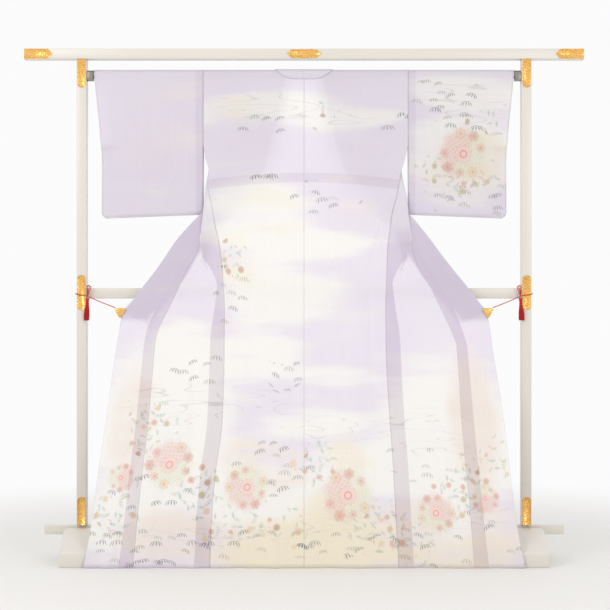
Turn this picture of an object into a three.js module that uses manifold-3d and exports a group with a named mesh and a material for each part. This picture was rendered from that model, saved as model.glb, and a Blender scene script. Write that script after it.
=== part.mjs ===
import * as THREE from 'three';
import Module from 'manifold-3d';
import { mergeVertices } from 'three/addons/utils/BufferGeometryUtils.js';

// A formal silk kimono (houmongi) spread over the rod of a lacquered wooden kimono stand.
// Millimetres, +Z up. The garment's back faces -Y, and its left side is at -X.
// The back panels hang in front of the rod and the front panels behind it. From the side seams down, each front
// panel and its okumi strip spread outwards beside the back, held there by a clip and a cord tied to the post.

// ---------------------------------------------------------------- driving dimensions: the stand
const STAND_Y = 9; // the plane of the posts, so that the whole stands centred on its origin
const POST = { x: 720, width: 32, depth: 40, bottom: 111.3, top: 1620.7 };
const BEAM = { halfLength: 904, bottom: 1621, top: 1655, depth: 40 };
const MID_RAIL = { bottom: 846, top: 880, depth: 24 };
const LOW_RAIL = { halfLength: 842, bottom: 82, top: 111, depth: 24 };
const FOOT = { outer: 770, width: 102, reach: 175, toe: 44, height: 105, plateau: 62, curveReach: 34, curveDrop: 14 };
const ROD = {
  z: 1573, radius: 13.4, sides: 24, shortBy: 1, bracketLength: 20, bracketWidth: 30, bracketDrop: 20, bracketRise: 8,
};
const FIT = 0.3; // clearance between pieces that touch

// ---------------------------------------------------------------- driving dimensions: the cloth
const CLOTH = 1.5; // thickness of the cloth walls
const LAP = CLOTH + 0.4; // one cloth layer lying on another
const COLLAR_LAP = CLOTH + 2.2; // the wide collar lies loosely behind the okumi
const ROD_CLEARANCE = 1.05; // the cloth is faceted, so its flats come nearer to the rod than its edges
const DRAPE_RADIUS = ROD.radius + ROD_CLEARANCE + CLOTH / 2; // the cloth's middle surface over the rod
const QUARTER_TURN = Math.PI / 2;
const SHOULDER_ARC = DRAPE_RADIUS * QUARTER_TURN; // from the top of the rod down to its widest point
const HEM_REACH = 171; // how far the hem is drawn forward of the rod
const HEM_CURVE = 1.25; // the cloth hangs straight at first and flares towards the hem
const HEM_Z = 1; // the hem just clears the floor
const NECK = { halfWidth: 92, backDrop: 38, blendDown: 70 }; // below blendDown the neckline bends the rows no more
const NECK_STATIONS = [0, 34, 60, 78, 88, 92]; // where the neckline is sampled, from the centre out
const SLIT_Z = 1214; // the side seam starts here, and the underarm slit is above it
const SLEEVE_SEAM_Z = 1354; // the sleeve is sewn to the body from here up
const OKUMI_TOP_Z = 1257;
const COLLAR_END_Z = 799;
const OVER_COLLAR_END_Z = 1257;

// One row a level of the half garment, from the shoulder line to the hem. side, okumi and edge are how far the
// side seam, the okumi seam and the front edge lie from the centre, on the left (_l) and on the right (_r).
// wrap is how far the back panel curves back at its side. front_y is the depth of the front panel's side edge
// above the side seam. okumi_y and edge_y are the depths of the other two lines. tuck_in and tuck_back are the
// pleat that the front panel makes behind the back where it swings from hanging to spreading.
const SECTION_COLUMNS = [
  'z', 'side_l', 'side_r', 'okumi_l', 'okumi_r', 'edge_l', 'edge_r',
  'wrap', 'front_y', 'okumi_y', 'edge_y', 'tuck_in', 'tuck_back',
];
const SECTIONS = [
  [1573, 326, 337, 92, 92, 92, 92, 0, 15.4, 15.4, 15.4, 0, 0],
  [1535, 326, 337, 98, 98, 98, 98, 1, 16, 16, 16, 0, 4],
  [1480, 326, 337, 108, 107, 108, 107, 3, 17, 17, 17, 0, 8],
  [1422, 326, 337, 122, 120, 122, 120, 4, 18, 18, 18, 0, 12],
  [1354, 326, 337, 138, 136, 138, 136, 6, 17, 20, 20, 0, 4],
  [1300, 319, 327, 152, 150, 152, 150, 9, 8, 24, 24, 20, 0],
  [1257, 308, 314, 164, 162, 169, 167, 12, -10, 26, 26, 62, 0],
  [1214, 312, 306, 190, 188, 215, 213, 14, -26, 22, 20, 96, 0],
  [1170, 303, 297, 232, 230, 272, 270, 16, 0, 8, 2, 118, 0],
  [1117, 292, 283, 282, 283, 338, 342, 18, 0, -12, -18, 122, 6],
  [1071, 284, 277, 318, 328, 381, 381, 19, 0, -22, -27, 108, 12],
  [1039, 276, 272, 333, 344, 409, 406, 20, 0, -28, -33, 92, 16],
  [997, 269, 268, 344, 352, 437, 436, 21, 0, -37, -39, 74, 18],
  [932, 262, 266, 380, 374, 481, 486, 22, 0, -48, -47, 48, 17],
  [887, 259, 264, 400, 403, 516, 522, 22, 0, -55, -52, 28, 15],
  [841, 256, 262, 420, 426, 550, 557, 22, 0, -61, -57, 14, 12],
  [799, 255, 262, 441, 446, 582, 586, 21, 0, -68, -61, 6, 8],
  [740, 255, 262, 468, 472, 593, 597, 20, 0, -77, -70, 0, 5],
  [690, 255, 262, 477, 488, 600, 603, 19, 0, -85, -78, 0, 3],
  [600, 256, 265, 483, 493, 612, 615, 17, 0, -100, -94, 0, 2],
  [450, 260, 273, 494, 500, 630, 636, 13, 0, -123, -119, 0, 0],
  [300, 279, 283, 510, 512, 650, 651, 8, 0, -145, -142, 0, 0],
  [150, 291, 289, 524, 524, 667, 667, 4, 0, -166, -164, 0, 0],
  [60, 293, 294, 531, 530, 681, 682, 1, 0, -178, -177, 0, 0],
  [HEM_Z, 295, 296, 538, 533, 692, 695, 0, 0, -187, -187, 0, 0],
].map((row) => Object.fromEntries(SECTION_COLUMNS.map((name, k) => [name, row[k]])));

// Long soft folds. across is a fold's place from the centre on the flat cut (back to 300, front to 540, okumi to
// 690), width its half width, depth how far it stands towards -Y, and it fades out between top and bottom.
const FOLDS = [
  { side: -1, across: 96, width: 46, depth: 5, top: 930, bottom: 0 },
  { side: -1, across: 205, width: 40, depth: -6, top: 1080, bottom: 0 },
  { side: -1, across: 352, width: 34, depth: 6, top: 760, bottom: 0 },
  { side: -1, across: 462, width: 38, depth: -7, top: 700, bottom: 0 },
  { side: -1, across: 618, width: 30, depth: 6, top: 740, bottom: 0 },
  { side: 1, across: 78, width: 40, depth: -5, top: 820, bottom: 0 },
  { side: 1, across: 176, width: 48, depth: 6, top: 1010, bottom: 0 },
  { side: 1, across: 372, width: 40, depth: -7, top: 730, bottom: 0 },
  { side: 1, across: 488, width: 34, depth: 6, top: 690, bottom: 0 },
  { side: 1, across: 606, width: 30, depth: -6, top: 720, bottom: 0 },
];
const CUT = { back: 300, front: 240, okumi: 150 }; // widths of the flat panels

// One row a level of a sleeve: outer is how far its wrist edge lies from the centre.
const SLEEVE_EDGE = [
  { z: 1573, outer: 680 },
  { z: 1480, outer: 671 },
  { z: 1390, outer: 662 },
  { z: 1276, outer: 656 },
  { z: 1100, outer: 657 },
];
const SLEEVE = {
  bottomInner: 1121, bottomOuter: 1109, corner: 18, wristZ: 1345, wristTaper: 24,
  halfGapBottom: 7, halfGapClosed: 1.2, foldDrop: 3,
  sewnShare: 0.42, // the seam to the body shapes this share of the width
  wristShare: 0.77, // the wrist opening is sewn shut below wristZ from this share outwards
};
const SLEEVE_UP = [0, 0.02, 0.06, 0.14, 0.25, 0.36, 0.46, 0.52, 0.62, 0.75, 0.88, 1]; // shares of the height
const SLEEVE_OVER_ROD = [-0.75, -0.5, -0.25, 0, 0.25, 0.5, 0.75]; // shares of the quarter turns over the rod
const SLEEVE_ACROSS = [0, 0.05, 0.13, 0.25, 0.42, 0.6, 0.77, 0.89, 0.96, 1];
const COLLAR = { upperWidth: 56, wingWidth: 92, upperZ: 1257, wingZ: 932 };

// ---------------------------------------------------------------- materials
const material = (name, color, roughness, metalness = 0) => {
  const result = new THREE.MeshStandardMaterial({ color, roughness, metalness });
  result.name = name;
  return result;
};
const silk = material('silk', 0xe4deed, 0.6);
const silkSleeve = material('silk_sleeve', 0xdad4e4, 0.6);
const lacquer = material('ivory_lacquer', 0xf3efe6, 0.35);
const brass = material('brass', 0xd9a441, 0.35, 0.9);
const steel = material('dark_steel', 0x4a4c50, 0.4, 0.7);
const redCord = material('red_cord', 0xc01822, 0.75);

// ---------------------------------------------------------------- small helpers
const clamp01 = (value) => Math.min(1, Math.max(0, value));
const mix = (a, b, share) => a + (b - a) * share;
const ease = (share) => {
  const s = clamp01(share);
  return s * s * (3 - 2 * s);
};
const vector = (x, y, z) => new THREE.Vector3(x, y, z);

// Reads a named column at any level, with a smooth curve that never overshoots its rows (highest row first).
function column(table, name, z) {
  const last = table.length - 1;
  if (z >= table[0].z) return table[0][name];
  if (z <= table[last].z) return table[last][name];
  const slope = (k) => (table[k + 1][name] - table[k][name]) / (table[k + 1].z - table[k].z);
  const tangent = (k) => {
    if (k === 0) return slope(0);
    if (k === last) return slope(last - 1);
    const before = slope(k - 1);
    const after = slope(k);
    return before * after <= 0 ? 0 : (2 * before * after) / (before + after);
  };
  const k = table.findIndex((row, index) => index < last && z <= row.z && z >= table[index + 1].z);
  const span = table[k + 1].z - table[k].z;
  const s = (z - table[k].z) / span;
  const value = (2 * s ** 3 - 3 * s ** 2 + 1) * table[k][name] + (3 * s ** 2 - 2 * s ** 3) * table[k + 1][name];
  return value + span * ((s ** 3 - 2 * s ** 2 + s) * tangent(k) + (s ** 3 - s ** 2) * tangent(k + 1));
}

// The table's levels with extra ones between rows that lie far apart, from the shoulder line down.
const LONGEST_STEP = 80;
const LEVELS = SECTIONS.flatMap((row, k) => {
  if (k === SECTIONS.length - 1) return [row.z];
  const drop = row.z - SECTIONS[k + 1].z;
  const steps = Math.ceil(drop / LONGEST_STEP);
  return Array.from({ length: steps }, (_, step) => row.z - (drop * step) / steps);
});

// ---------------------------------------------------------------- closed solids from point grids
function orientedGeometry(points, faces) {
  let volume = 0;
  for (const [a, b, c] of faces) volume += points[a].dot(points[b].clone().cross(points[c]));
  const ordered = volume > 0 ? faces : faces.map(([a, b, c]) => [a, c, b]);
  const geometry = new THREE.BufferGeometry();
  geometry.setAttribute('position', new THREE.Float32BufferAttribute(points.flatMap((p) => p.toArray()), 3));
  geometry.setIndex(ordered.flat());
  return geometry;
}

// Unit normals of a grid of points; a round grid closes on itself along each row.
function gridNormals(grid, round = false) {
  const rows = grid.length;
  const columns = grid[0].length;
  return grid.map((row, i) => row.map((_, j) => {
    const left = round ? (j + columns - 1) % columns : Math.max(0, j - 1);
    const right = round ? (j + 1) % columns : Math.min(columns - 1, j + 1);
    const along = grid[Math.min(rows - 1, i + 1)][j].clone().sub(grid[Math.max(0, i - 1)][j]);
    const across = grid[i][right].clone().sub(grid[i][left]);
    return across.cross(along).normalize();
  }));
}

// A wall of even thickness about a grid of middle points.
function wall(grid, normals = gridNormals(grid), round = false, thickness = CLOTH) {
  const rows = grid.length;
  const columns = grid[0].length;
  const offset = (sign) => grid.flatMap((row, i) =>
    row.map((p, j) => p.clone().addScaledVector(normals[i][j], (sign * thickness) / 2)));
  const points = [...offset(1), ...offset(-1)];
  const half = rows * columns;
  const at = (i, j, layer) => layer * half + i * columns + (j % columns);
  const faces = [];
  const quad = (a, b, c, d) => faces.push([a, b, c], [a, c, d]);
  const lastColumn = round ? columns : columns - 1;
  for (let i = 0; i < rows - 1; i += 1) {
    for (let j = 0; j < lastColumn; j += 1) {
      quad(at(i, j, 0), at(i, j + 1, 0), at(i + 1, j + 1, 0), at(i + 1, j, 0));
      quad(at(i, j, 1), at(i + 1, j, 1), at(i + 1, j + 1, 1), at(i, j + 1, 1));
    }
  }
  for (let j = 0; j < lastColumn; j += 1) {
    quad(at(0, j, 0), at(0, j, 1), at(0, j + 1, 1), at(0, j + 1, 0));
    quad(at(rows - 1, j, 0), at(rows - 1, j + 1, 0), at(rows - 1, j + 1, 1), at(rows - 1, j, 1));
  }
  for (let i = 0; i < rows - 1 && !round; i += 1) {
    quad(at(i, 0, 0), at(i + 1, 0, 0), at(i + 1, 0, 1), at(i, 0, 1));
    quad(at(i, columns - 1, 0), at(i, columns - 1, 1), at(i + 1, columns - 1, 1), at(i + 1, columns - 1, 0));
  }
  return orientedGeometry(points, faces);
}

// ---------------------------------------------------------------- the body of the kimono
const sideName = (side) => (side < 0 ? 'l' : 'r');
const sectionX = (name, side, z) => column(SECTIONS, `${name}_${sideName(side)}`, z);

function hangingDepth(z) {
  const share = clamp01(1 - z / ROD.z);
  return -DRAPE_RADIUS - HEM_REACH * share ** HEM_CURVE;
}

function foldDepth(side, across, z) {
  let depth = 0;
  for (const fold of FOLDS) {
    if (fold.side !== side) continue;
    const reach = Math.abs(across - fold.across) / fold.width;
    if (reach >= 1) continue;
    const strength = ease((fold.top - z) / (fold.top - fold.bottom));
    depth += fold.depth * strength * (0.5 + 0.5 * Math.cos(Math.PI * reach));
  }
  return -depth;
}

function backDepth(side, share, z) {
  const wrap = column(SECTIONS, 'wrap', z) * share ** 2;
  return hangingDepth(z) + wrap + foldDepth(side, share * CUT.back, z);
}

// A point of the cloth near the rod, from its distance down from the shoulder line (negative is the back, -Y).
function drapedPoint(x, down, lift = 0) {
  const radius = DRAPE_RADIUS + lift;
  const facing = down < 0 ? -1 : 1;
  const length = Math.abs(down);
  if (length <= SHOULDER_ARC) {
    const angle = length / DRAPE_RADIUS;
    return vector(x, facing * radius * Math.sin(angle), ROD.z + radius * Math.cos(angle));
  }
  return vector(x, facing * radius, ROD.z - (length - SHOULDER_ARC));
}

const OVER_ROD = [0, 0.25, 0.5, 0.75]; // shares of the quarter turn from the top of the rod
const necklineDrop = (x) => (x >= NECK.halfWidth ? 0 : NECK.backDrop * (1 - (x / NECK.halfWidth) ** 4));
const BACK_OUTER_STATIONS = [140, 195, 250, 290, 1]; // beyond the neckline; the last is the side edge

function backPanel(side) {
  const edgeTop = sectionX('side', side, ROD.z);
  const stations = [...NECK_STATIONS, ...BACK_OUTER_STATIONS.slice(0, -1)].map((x) => x / edgeTop).concat(1);
  const row = (down, z) => stations.map((share, k) => {
    const edge = sectionX('side', side, z) - FIT / 2;
    const x = mix(FIT / 2, edge, share);
    const neck = k < NECK_STATIONS.length ? necklineDrop(NECK_STATIONS[k]) + FIT : 0;
    const local = down < NECK.blendDown ? neck + down * (1 - neck / NECK.blendDown) : down;
    const level = local <= SHOULDER_ARC ? ROD.z : ROD.z - (local - SHOULDER_ARC);
    if (local <= SHOULDER_ARC) return drapedPoint(side * x, -Math.max(local, FIT / 2));
    return vector(side * x, backDepth(side, share, level), level);
  });
  const rows = [
    ...OVER_ROD.map((share) => row(share * SHOULDER_ARC, ROD.z)),
    ...LEVELS.map((z) => row(SHOULDER_ARC + ROD.z - z, z)),
  ];
  return wall(rows);
}

const PLEAT_SPREAD = 4 / 3; // control points reach this much further than the curve they shape
const PLEAT_START = 0.3; // share of the pleat's depth at its first control point
const FRONT_ACROSS = [0, 0.08, 0.17, 0.27, 0.36, 0.43, 0.5, 0.57, 0.64, 0.73, 0.83, 0.92, 1];
const OKUMI_ACROSS = [0, 0.33, 0.66, 1];

// One level of the front: the front panel's points from its side edge to the okumi seam, then the okumi's.
function frontRow(side, z) {
  const seam = z > SLIT_Z - 1 ? column(SECTIONS, 'front_y', z) : backDepth(side, 1, z) + LAP;
  const start = vector(sectionX('side', side, z), seam, z);
  const end = vector(sectionX('okumi', side, z), column(SECTIONS, 'okumi_y', z), z);
  const edge = vector(sectionX('edge', side, z), column(SECTIONS, 'edge_y', z), z);
  const tuckIn = column(SECTIONS, 'tuck_in', z) * PLEAT_SPREAD;
  const tuckBack = column(SECTIONS, 'tuck_back', z);
  const third = end.clone().sub(start).divideScalar(3);
  const curve = new THREE.CubicBezierCurve3(
    start,
    start.clone().add(third).add(vector(-tuckIn, tuckBack * PLEAT_START, 0)),
    end.clone().sub(third).add(vector(-tuckIn, tuckBack, 0)),
    end,
  );
  const front = FRONT_ACROSS.map((share) => {
    const p = curve.getPoint(share);
    p.y += foldDepth(side, CUT.back + share * CUT.front, z) * Math.sin(Math.PI * share) ** 0.5;
    return p;
  });
  const okumi = OKUMI_ACROSS.map((share) => {
    const p = end.clone().lerp(edge, share);
    p.y += foldDepth(side, CUT.back + CUT.front + share * CUT.okumi, z) * Math.sin(Math.PI * share) ** 0.5;
    return p;
  });
  return { front, okumi };
}

const FRONT_LEVELS = Object.fromEntries([-1, 1].map((side) => [side, LEVELS.map((z) => frontRow(side, z))]));
const placed = (side, p) => vector(side * p.x, p.y, p.z);
const FRONT_SEAM = FRONT_ACROSS.length - 1;
const seamTrim = (grid, columnIndex, towards) => {
  for (const row of grid) {
    const step = row[columnIndex + towards].clone().sub(row[columnIndex]);
    row[columnIndex].addScaledVector(step.normalize(), FIT / 2);
  }
};

// Front panel and okumi share one row of points, so their seam edges stay parallel.
function frontNormals(side) {
  const joined = FRONT_LEVELS[side].map(({ front, okumi }) =>
    [...front, ...okumi.slice(1)].map((p) => placed(side, p)));
  return gridNormals(joined);
}

function frontPanel(side) {
  const normals = frontNormals(side).map((row) => row.slice(0, FRONT_SEAM + 1));
  const grid = FRONT_LEVELS[side].map(({ front }) => front.map((p) => placed(side, p)));
  seamTrim(grid, FRONT_SEAM, -1);
  for (const row of grid) {
    if (row[0].z > SLIT_Z) row[0].x -= (side * FIT) / 2;
  }
  const overRod = OVER_ROD.map((share) => grid[0].map((p) =>
    drapedPoint(p.x, Math.max(share * SHOULDER_ARC, FIT / 2))));
  const rodNormals = overRod.map((row, i) => row.map(() => {
    const angle = OVER_ROD[i] * QUARTER_TURN;
    return vector(0, Math.sin(angle), Math.cos(angle)).multiplyScalar(Math.sign(normals[0][1].y));
  }));
  return wall([...overRod, ...grid], [...rodNormals, ...normals]);
}

function okumiPanel(side) {
  const rows = FRONT_LEVELS[side].map((row, k) => ({ row, normal: k })).filter(({ row }) =>
    row.okumi[0].z < OKUMI_TOP_Z - 1);
  const normals = frontNormals(side);
  const grid = rows.map(({ row }) => row.okumi.map((p) => placed(side, p)));
  seamTrim(grid, 0, 1);
  return wall(grid, rows.map(({ normal }) => normals[normal].slice(FRONT_SEAM)));
}

// ---------------------------------------------------------------- the collar
// Depth of the spread front at a place beside the body, found along the levels above and below it.
function spreadDepth(side, x, z) {
  const below = LEVELS.findIndex((level) => level <= z);
  const depthIn = (index) => {
    const points = [...FRONT_LEVELS[side][index].front, ...FRONT_LEVELS[side][index].okumi.slice(1)];
    for (let k = points.length - 1; k > 0; k -= 1) {
      if (points[k - 1].x <= x) {
        return mix(points[k].y, points[k - 1].y, clamp01((points[k].x - x) / (points[k].x - points[k - 1].x)));
      }
    }
    return points[points.length - 1].y;
  };
  const above = Math.max(0, below - 1);
  const share = below === above ? 0 : (LEVELS[above] - z) / (LEVELS[above] - LEVELS[below]);
  return mix(depthIn(above), depthIn(below), share);
}

const COLLAR_ACROSS = [0, 0.14, 0.28, 0.42, 0.56, 0.7, 0.85, 1];
const NECK_LIFT = 1.8; // the doubled collar stands a little above the panels over the rod
const NECK_SHRINK = 0.987; // the collar's seam edge lies just inside the neckline
const NECK_INNER = [[0, 16], [15, 17], [26, 21], [33, 27], [37, 36], [39, 46]]; // free edge: across, down behind
const COLLAR_TURN = { from: 1360, to: 1300 }; // levels where the collar goes from beside the front to behind it
const COLLAR_SWING = { from: 1320, to: 1090, fade: 50, extra: 5 }; // it stands off where the front swings outwards
const COLLAR_LEAN = { halfStep: 20, fullBelow: 120 }; // how its lean is measured, and how far down it is complete
const COLLAR_LAP_SHARE = 0.25; // it reaches its full distance from the front at this share of its width

// Rows of the collar's middle surface on one side, from the centre of the neck to the clip.
function collarRows(side, lift) {
  const neckRow = (seamX, seamDown, freeX, freeDown) => COLLAR_ACROSS.map((share) =>
    drapedPoint(side * mix(seamX, freeX, share), mix(seamDown, freeDown, share), lift + NECK_LIFT));
  const behindNeck = NECK_STATIONS.map((x, k) =>
    neckRow(x * NECK_SHRINK, 1 - necklineDrop(x), NECK_INNER[k][0], NECK_INNER[k][1]));
  const [lastX, lastDown] = NECK_INNER[NECK_INNER.length - 1];
  const besideNeck = [...OVER_ROD.slice(1), 1].map((share) =>
    neckRow(NECK.halfWidth * NECK_SHRINK, share * SHOULDER_ARC, lastX + 2 * share, lastDown + 5 * share));
  const run = LEVELS.filter((z) => z < ROD.z && z >= COLLAR_END_Z).map((z) => {
    const seam = sectionX('edge', side, z) - FIT;
    const { halfStep, fullBelow } = COLLAR_LEAN;
    const slope = sectionX('edge', side, z - halfStep) - sectionX('edge', side, z + halfStep);
    const lean = Math.atan2(slope, 2 * halfStep) * ease((ROD.z - z) / fullBelow);
    const spread = ease((COLLAR.upperZ - z) / (COLLAR.upperZ - COLLAR.wingZ));
    const width = mix(COLLAR.upperWidth, COLLAR.wingWidth, spread);
    const turned = ease((COLLAR_TURN.from - z) / (COLLAR_TURN.from - COLLAR_TURN.to));
    return COLLAR_ACROSS.map((share) => {
      const x = seam - share * width * Math.cos(lean);
      const level = z - share * width * Math.sin(lean);
      const swing = ease((z - COLLAR_SWING.to) / COLLAR_SWING.fade) * ease((COLLAR_SWING.from - z) / COLLAR_SWING.fade);
      const lap = mix(CLOTH + 2 * FIT, COLLAR_LAP, clamp01(share / COLLAR_LAP_SHARE)) + COLLAR_SWING.extra * swing;
      return vector(side * x, spreadDepth(side, x, level) + lap * turned + lift, level);
    });
  });
  return [...behindNeck, ...besideNeck, ...run];
}

function collarGrid(lift, lowest = -Infinity) {
  const left = collarRows(-1, lift).filter((row) => row[0].z > lowest);
  const right = collarRows(1, lift).filter((row) => row[0].z > lowest);
  return [...left.reverse(), ...right.slice(1)];
}

// ---------------------------------------------------------------- the sleeves
function sleeve(side) {
  const seamX = sectionX('side', side, ROD.z) + FIT / 2;
  const grid = SLEEVE_ACROSS.map((share) => {
    const bottom = mix(SLEEVE.bottomInner, SLEEVE.bottomOuter, share);
    const place = (z) => {
      const drop = clamp01((z - bottom) / SLEEVE.corner);
      const corner = SLEEVE.corner * (1 - Math.sqrt(1 - (1 - drop) ** 2));
      return mix(seamX, column(SLEEVE_EDGE, 'outer', z) - corner, share);
    };
    const halfGap = (z, bodyDepth) => {
      const hung = mix(DRAPE_RADIUS, SLEEVE.halfGapBottom, clamp01((ROD.z - z) / (ROD.z - bottom)));
      const sewn = ease((z - SLIT_Z) / (SLEEVE_SEAM_Z - SLIT_Z)) * (1 - ease(share / SLEEVE.sewnShare));
      const atWrist = ease((share - SLEEVE.wristShare) / (1 - SLEEVE.wristShare));
      const closed = ease((SLEEVE.wristZ - z) / SLEEVE.wristTaper) * atWrist;
      return mix(mix(hung, bodyDepth, sewn), SLEEVE.halfGapClosed, closed);
    };
    const layer = (facing, shareOfHeight) => {
      const z = mix(bottom, ROD.z, shareOfHeight);
      const body = facing < 0 ? -backDepth(side, 1, z) : column(SECTIONS, 'front_y', Math.max(z, SLEEVE_SEAM_Z));
      return vector(side * place(z), facing * halfGap(z, body), z);
    };
    const fold = vector(side * place(bottom), 0, bottom - SLEEVE.foldDrop);
    return [
      fold,
      ...SLEEVE_UP.map((s) => layer(-1, s)),
      ...SLEEVE_OVER_ROD.map((s) => drapedPoint(side * place(ROD.z), s * SHOULDER_ARC)),
      ...SLEEVE_UP.map((s) => layer(1, s)).reverse(),
    ];
  });
  return wall(grid, gridNormals(grid, true), true);
}

// ---------------------------------------------------------------- joins and cuts
const wasm = await Module();
wasm.setup();

function toSolid(geometry) {
  const bare = new THREE.BufferGeometry();
  bare.setAttribute('position', geometry.getAttribute('position').clone());
  if (geometry.index) bare.setIndex(geometry.index.clone());
  const merged = mergeVertices(bare, 1e-4);
  return new wasm.Manifold(new wasm.Mesh({
    numProp: 3,
    vertProperties: new Float32Array(merged.getAttribute('position').array),
    triVerts: new Uint32Array(merged.index.array),
  }));
}

function fromSolid(solid) {
  const { vertProperties, triVerts } = solid.getMesh();
  const geometry = new THREE.BufferGeometry();
  geometry.setAttribute('position', new THREE.BufferAttribute(new Float32Array(vertProperties), 3));
  geometry.setIndex(new THREE.BufferAttribute(new Uint32Array(triVerts), 1));
  return geometry;
}

const join = (geometries) => fromSolid(geometries.map(toSolid).reduce((all, one) => all.add(one)));

// ---------------------------------------------------------------- stand pieces
const boxBetween = (low, high) => {
  const size = high.clone().sub(low);
  const centre = low.clone().add(high).multiplyScalar(0.5);
  return new THREE.BoxGeometry(size.x, size.y, size.z).translate(centre.x, centre.y, centre.z);
};

const group = new THREE.Group();
function add(name, geometry, finish) {
  const mesh = new THREE.Mesh(geometry, finish);
  mesh.name = name;
  mesh.position.y = STAND_Y;
  group.add(mesh);
}

// An outline in X and Z, pushed along Y.
function slab(outline, fromY, toY) {
  const geometry = new THREE.ExtrudeGeometry(outline, { depth: toY - fromY, bevelEnabled: false });
  return geometry.rotateX(QUARTER_TURN).translate(0, toY, 0);
}

function foot(side) {
  const profile = new THREE.Shape();
  const notch = LOW_RAIL.depth / 2 + FIT;
  const bendX = FOOT.plateau + FOOT.curveReach;
  const bendZ = FOOT.height - FOOT.curveDrop;
  profile.moveTo(-FOOT.reach, 0);
  profile.lineTo(-FOOT.reach, FOOT.toe);
  profile.quadraticCurveTo(-bendX, bendZ, -FOOT.plateau, FOOT.height);
  profile.lineTo(-notch, FOOT.height);
  profile.lineTo(-notch, LOW_RAIL.bottom - FIT);
  profile.lineTo(notch, LOW_RAIL.bottom - FIT);
  profile.lineTo(notch, FOOT.height);
  profile.lineTo(FOOT.plateau, FOOT.height);
  profile.quadraticCurveTo(bendX, bendZ, FOOT.reach, FOOT.toe);
  profile.lineTo(FOOT.reach, 0);
  const geometry = new THREE.ExtrudeGeometry(profile, { depth: FOOT.width, bevelEnabled: false, curveSegments: 6 });
  geometry.applyMatrix4(new THREE.Matrix4().makeBasis(vector(0, 1, 0), vector(0, 0, 1), vector(1, 0, 0)));
  return geometry.translate(side < 0 ? -FOOT.outer : FOOT.outer - FOOT.width, 0, 0);
}

function hangingRod() {
  const inner = POST.x - POST.width / 2 - FIT;
  const rodLength = 2 * (inner - ROD.shortBy); // its ends lie inside the brackets
  const rod = new THREE.CylinderGeometry(ROD.radius, ROD.radius, rodLength, ROD.sides);
  rod.rotateZ(QUARTER_TURN).translate(0, 0, ROD.z);
  const bracket = (side) => {
    const ends = [side * inner, side * (inner - ROD.bracketLength)];
    return boxBetween(
      vector(Math.min(...ends), -ROD.bracketWidth / 2, ROD.z - ROD.bracketDrop),
      vector(Math.max(...ends), ROD.bracketWidth / 2, ROD.z + ROD.bracketRise),
    );
  };
  return join([rod, bracket(-1), bracket(1)]);
}

// Brass plates: halfLength runs along the piece that carries the plate, and each end is pointed, round or square.
const PLATE = { thickness: 1.4, beamHalfHeight: 14, beamHalfLength: 56, postHalfWidth: 14, pointLength: 16 };
const POST_PLATES = { top: [1529, 1620], middle: [809, 921], foot: [112, 203] }; // lower and upper end of each
const BEAM_CAP = { length: 92, edge: 0.5 }; // edge is how much lower than the beam it is at top and bottom
const CUT_MARGIN = 5; // a cutting shape reaches this far past what it cuts

function plateOutline(halfLength, halfWidth, startShape, endShape) {
  const outline = new THREE.Shape();
  const shoulder = halfLength - PLATE.pointLength;
  const straight = (shape) => (shape === 'square' ? halfLength : shoulder);
  outline.moveTo(-straight(startShape), -halfWidth);
  outline.lineTo(straight(endShape), -halfWidth);
  if (endShape === 'round') outline.quadraticCurveTo(halfLength, -halfWidth, halfLength, 0);
  if (endShape === 'pointed') outline.lineTo(halfLength, 0);
  if (endShape === 'round') outline.quadraticCurveTo(halfLength, halfWidth, shoulder, halfWidth);
  else outline.lineTo(straight(endShape), halfWidth);
  outline.lineTo(-straight(startShape), halfWidth);
  if (startShape === 'round') outline.quadraticCurveTo(-halfLength, halfWidth, -halfLength, 0);
  if (startShape === 'pointed') outline.lineTo(-halfLength, 0);
  if (startShape === 'round') outline.quadraticCurveTo(-halfLength, -halfWidth, -shoulder, -halfWidth);
  return outline;
}

function plate(depth, halfLength, halfWidth, startShape, endShape) {
  const outline = plateOutline(halfLength, halfWidth, startShape, endShape);
  return slab(outline, -depth / 2 - FIT - PLATE.thickness, -depth / 2 - FIT);
}

// A post's plate stands upright: its start end is the lower one.
function postPlate(side, [low, high], startShape, endShape) {
  const geometry = plate(0, (high - low) / 2, PLATE.postHalfWidth, startShape, endShape);
  return geometry.rotateY(-QUARTER_TURN).translate(side * POST.x, -POST.depth / 2, (low + high) / 2);
}

// A beam's end cap folds round the end: front, end and back, with a point at the inner end.
function beamCap(side) {
  const skin = PLATE.thickness;
  const half = BEAM.depth / 2 + FIT + skin;
  const end = BEAM.halfLength + FIT + skin;
  const middle = (BEAM.bottom + BEAM.top) / 2;
  const outline = plateOutline(BEAM_CAP.length / 2, BEAM.top - middle - BEAM_CAP.edge, 'pointed', 'square');
  const outer = toSolid(slab(outline, -half, half).translate(end - BEAM_CAP.length / 2, 0, middle));
  const inside = toSolid(boxBetween(
    vector(end - BEAM_CAP.length - CUT_MARGIN, -half + skin, BEAM.bottom - CUT_MARGIN),
    vector(end - skin, half - skin, BEAM.top + CUT_MARGIN),
  ));
  const geometry = fromSolid(outer.subtract(inside));
  return side < 0 ? geometry.rotateZ(Math.PI) : geometry;
}

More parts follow.
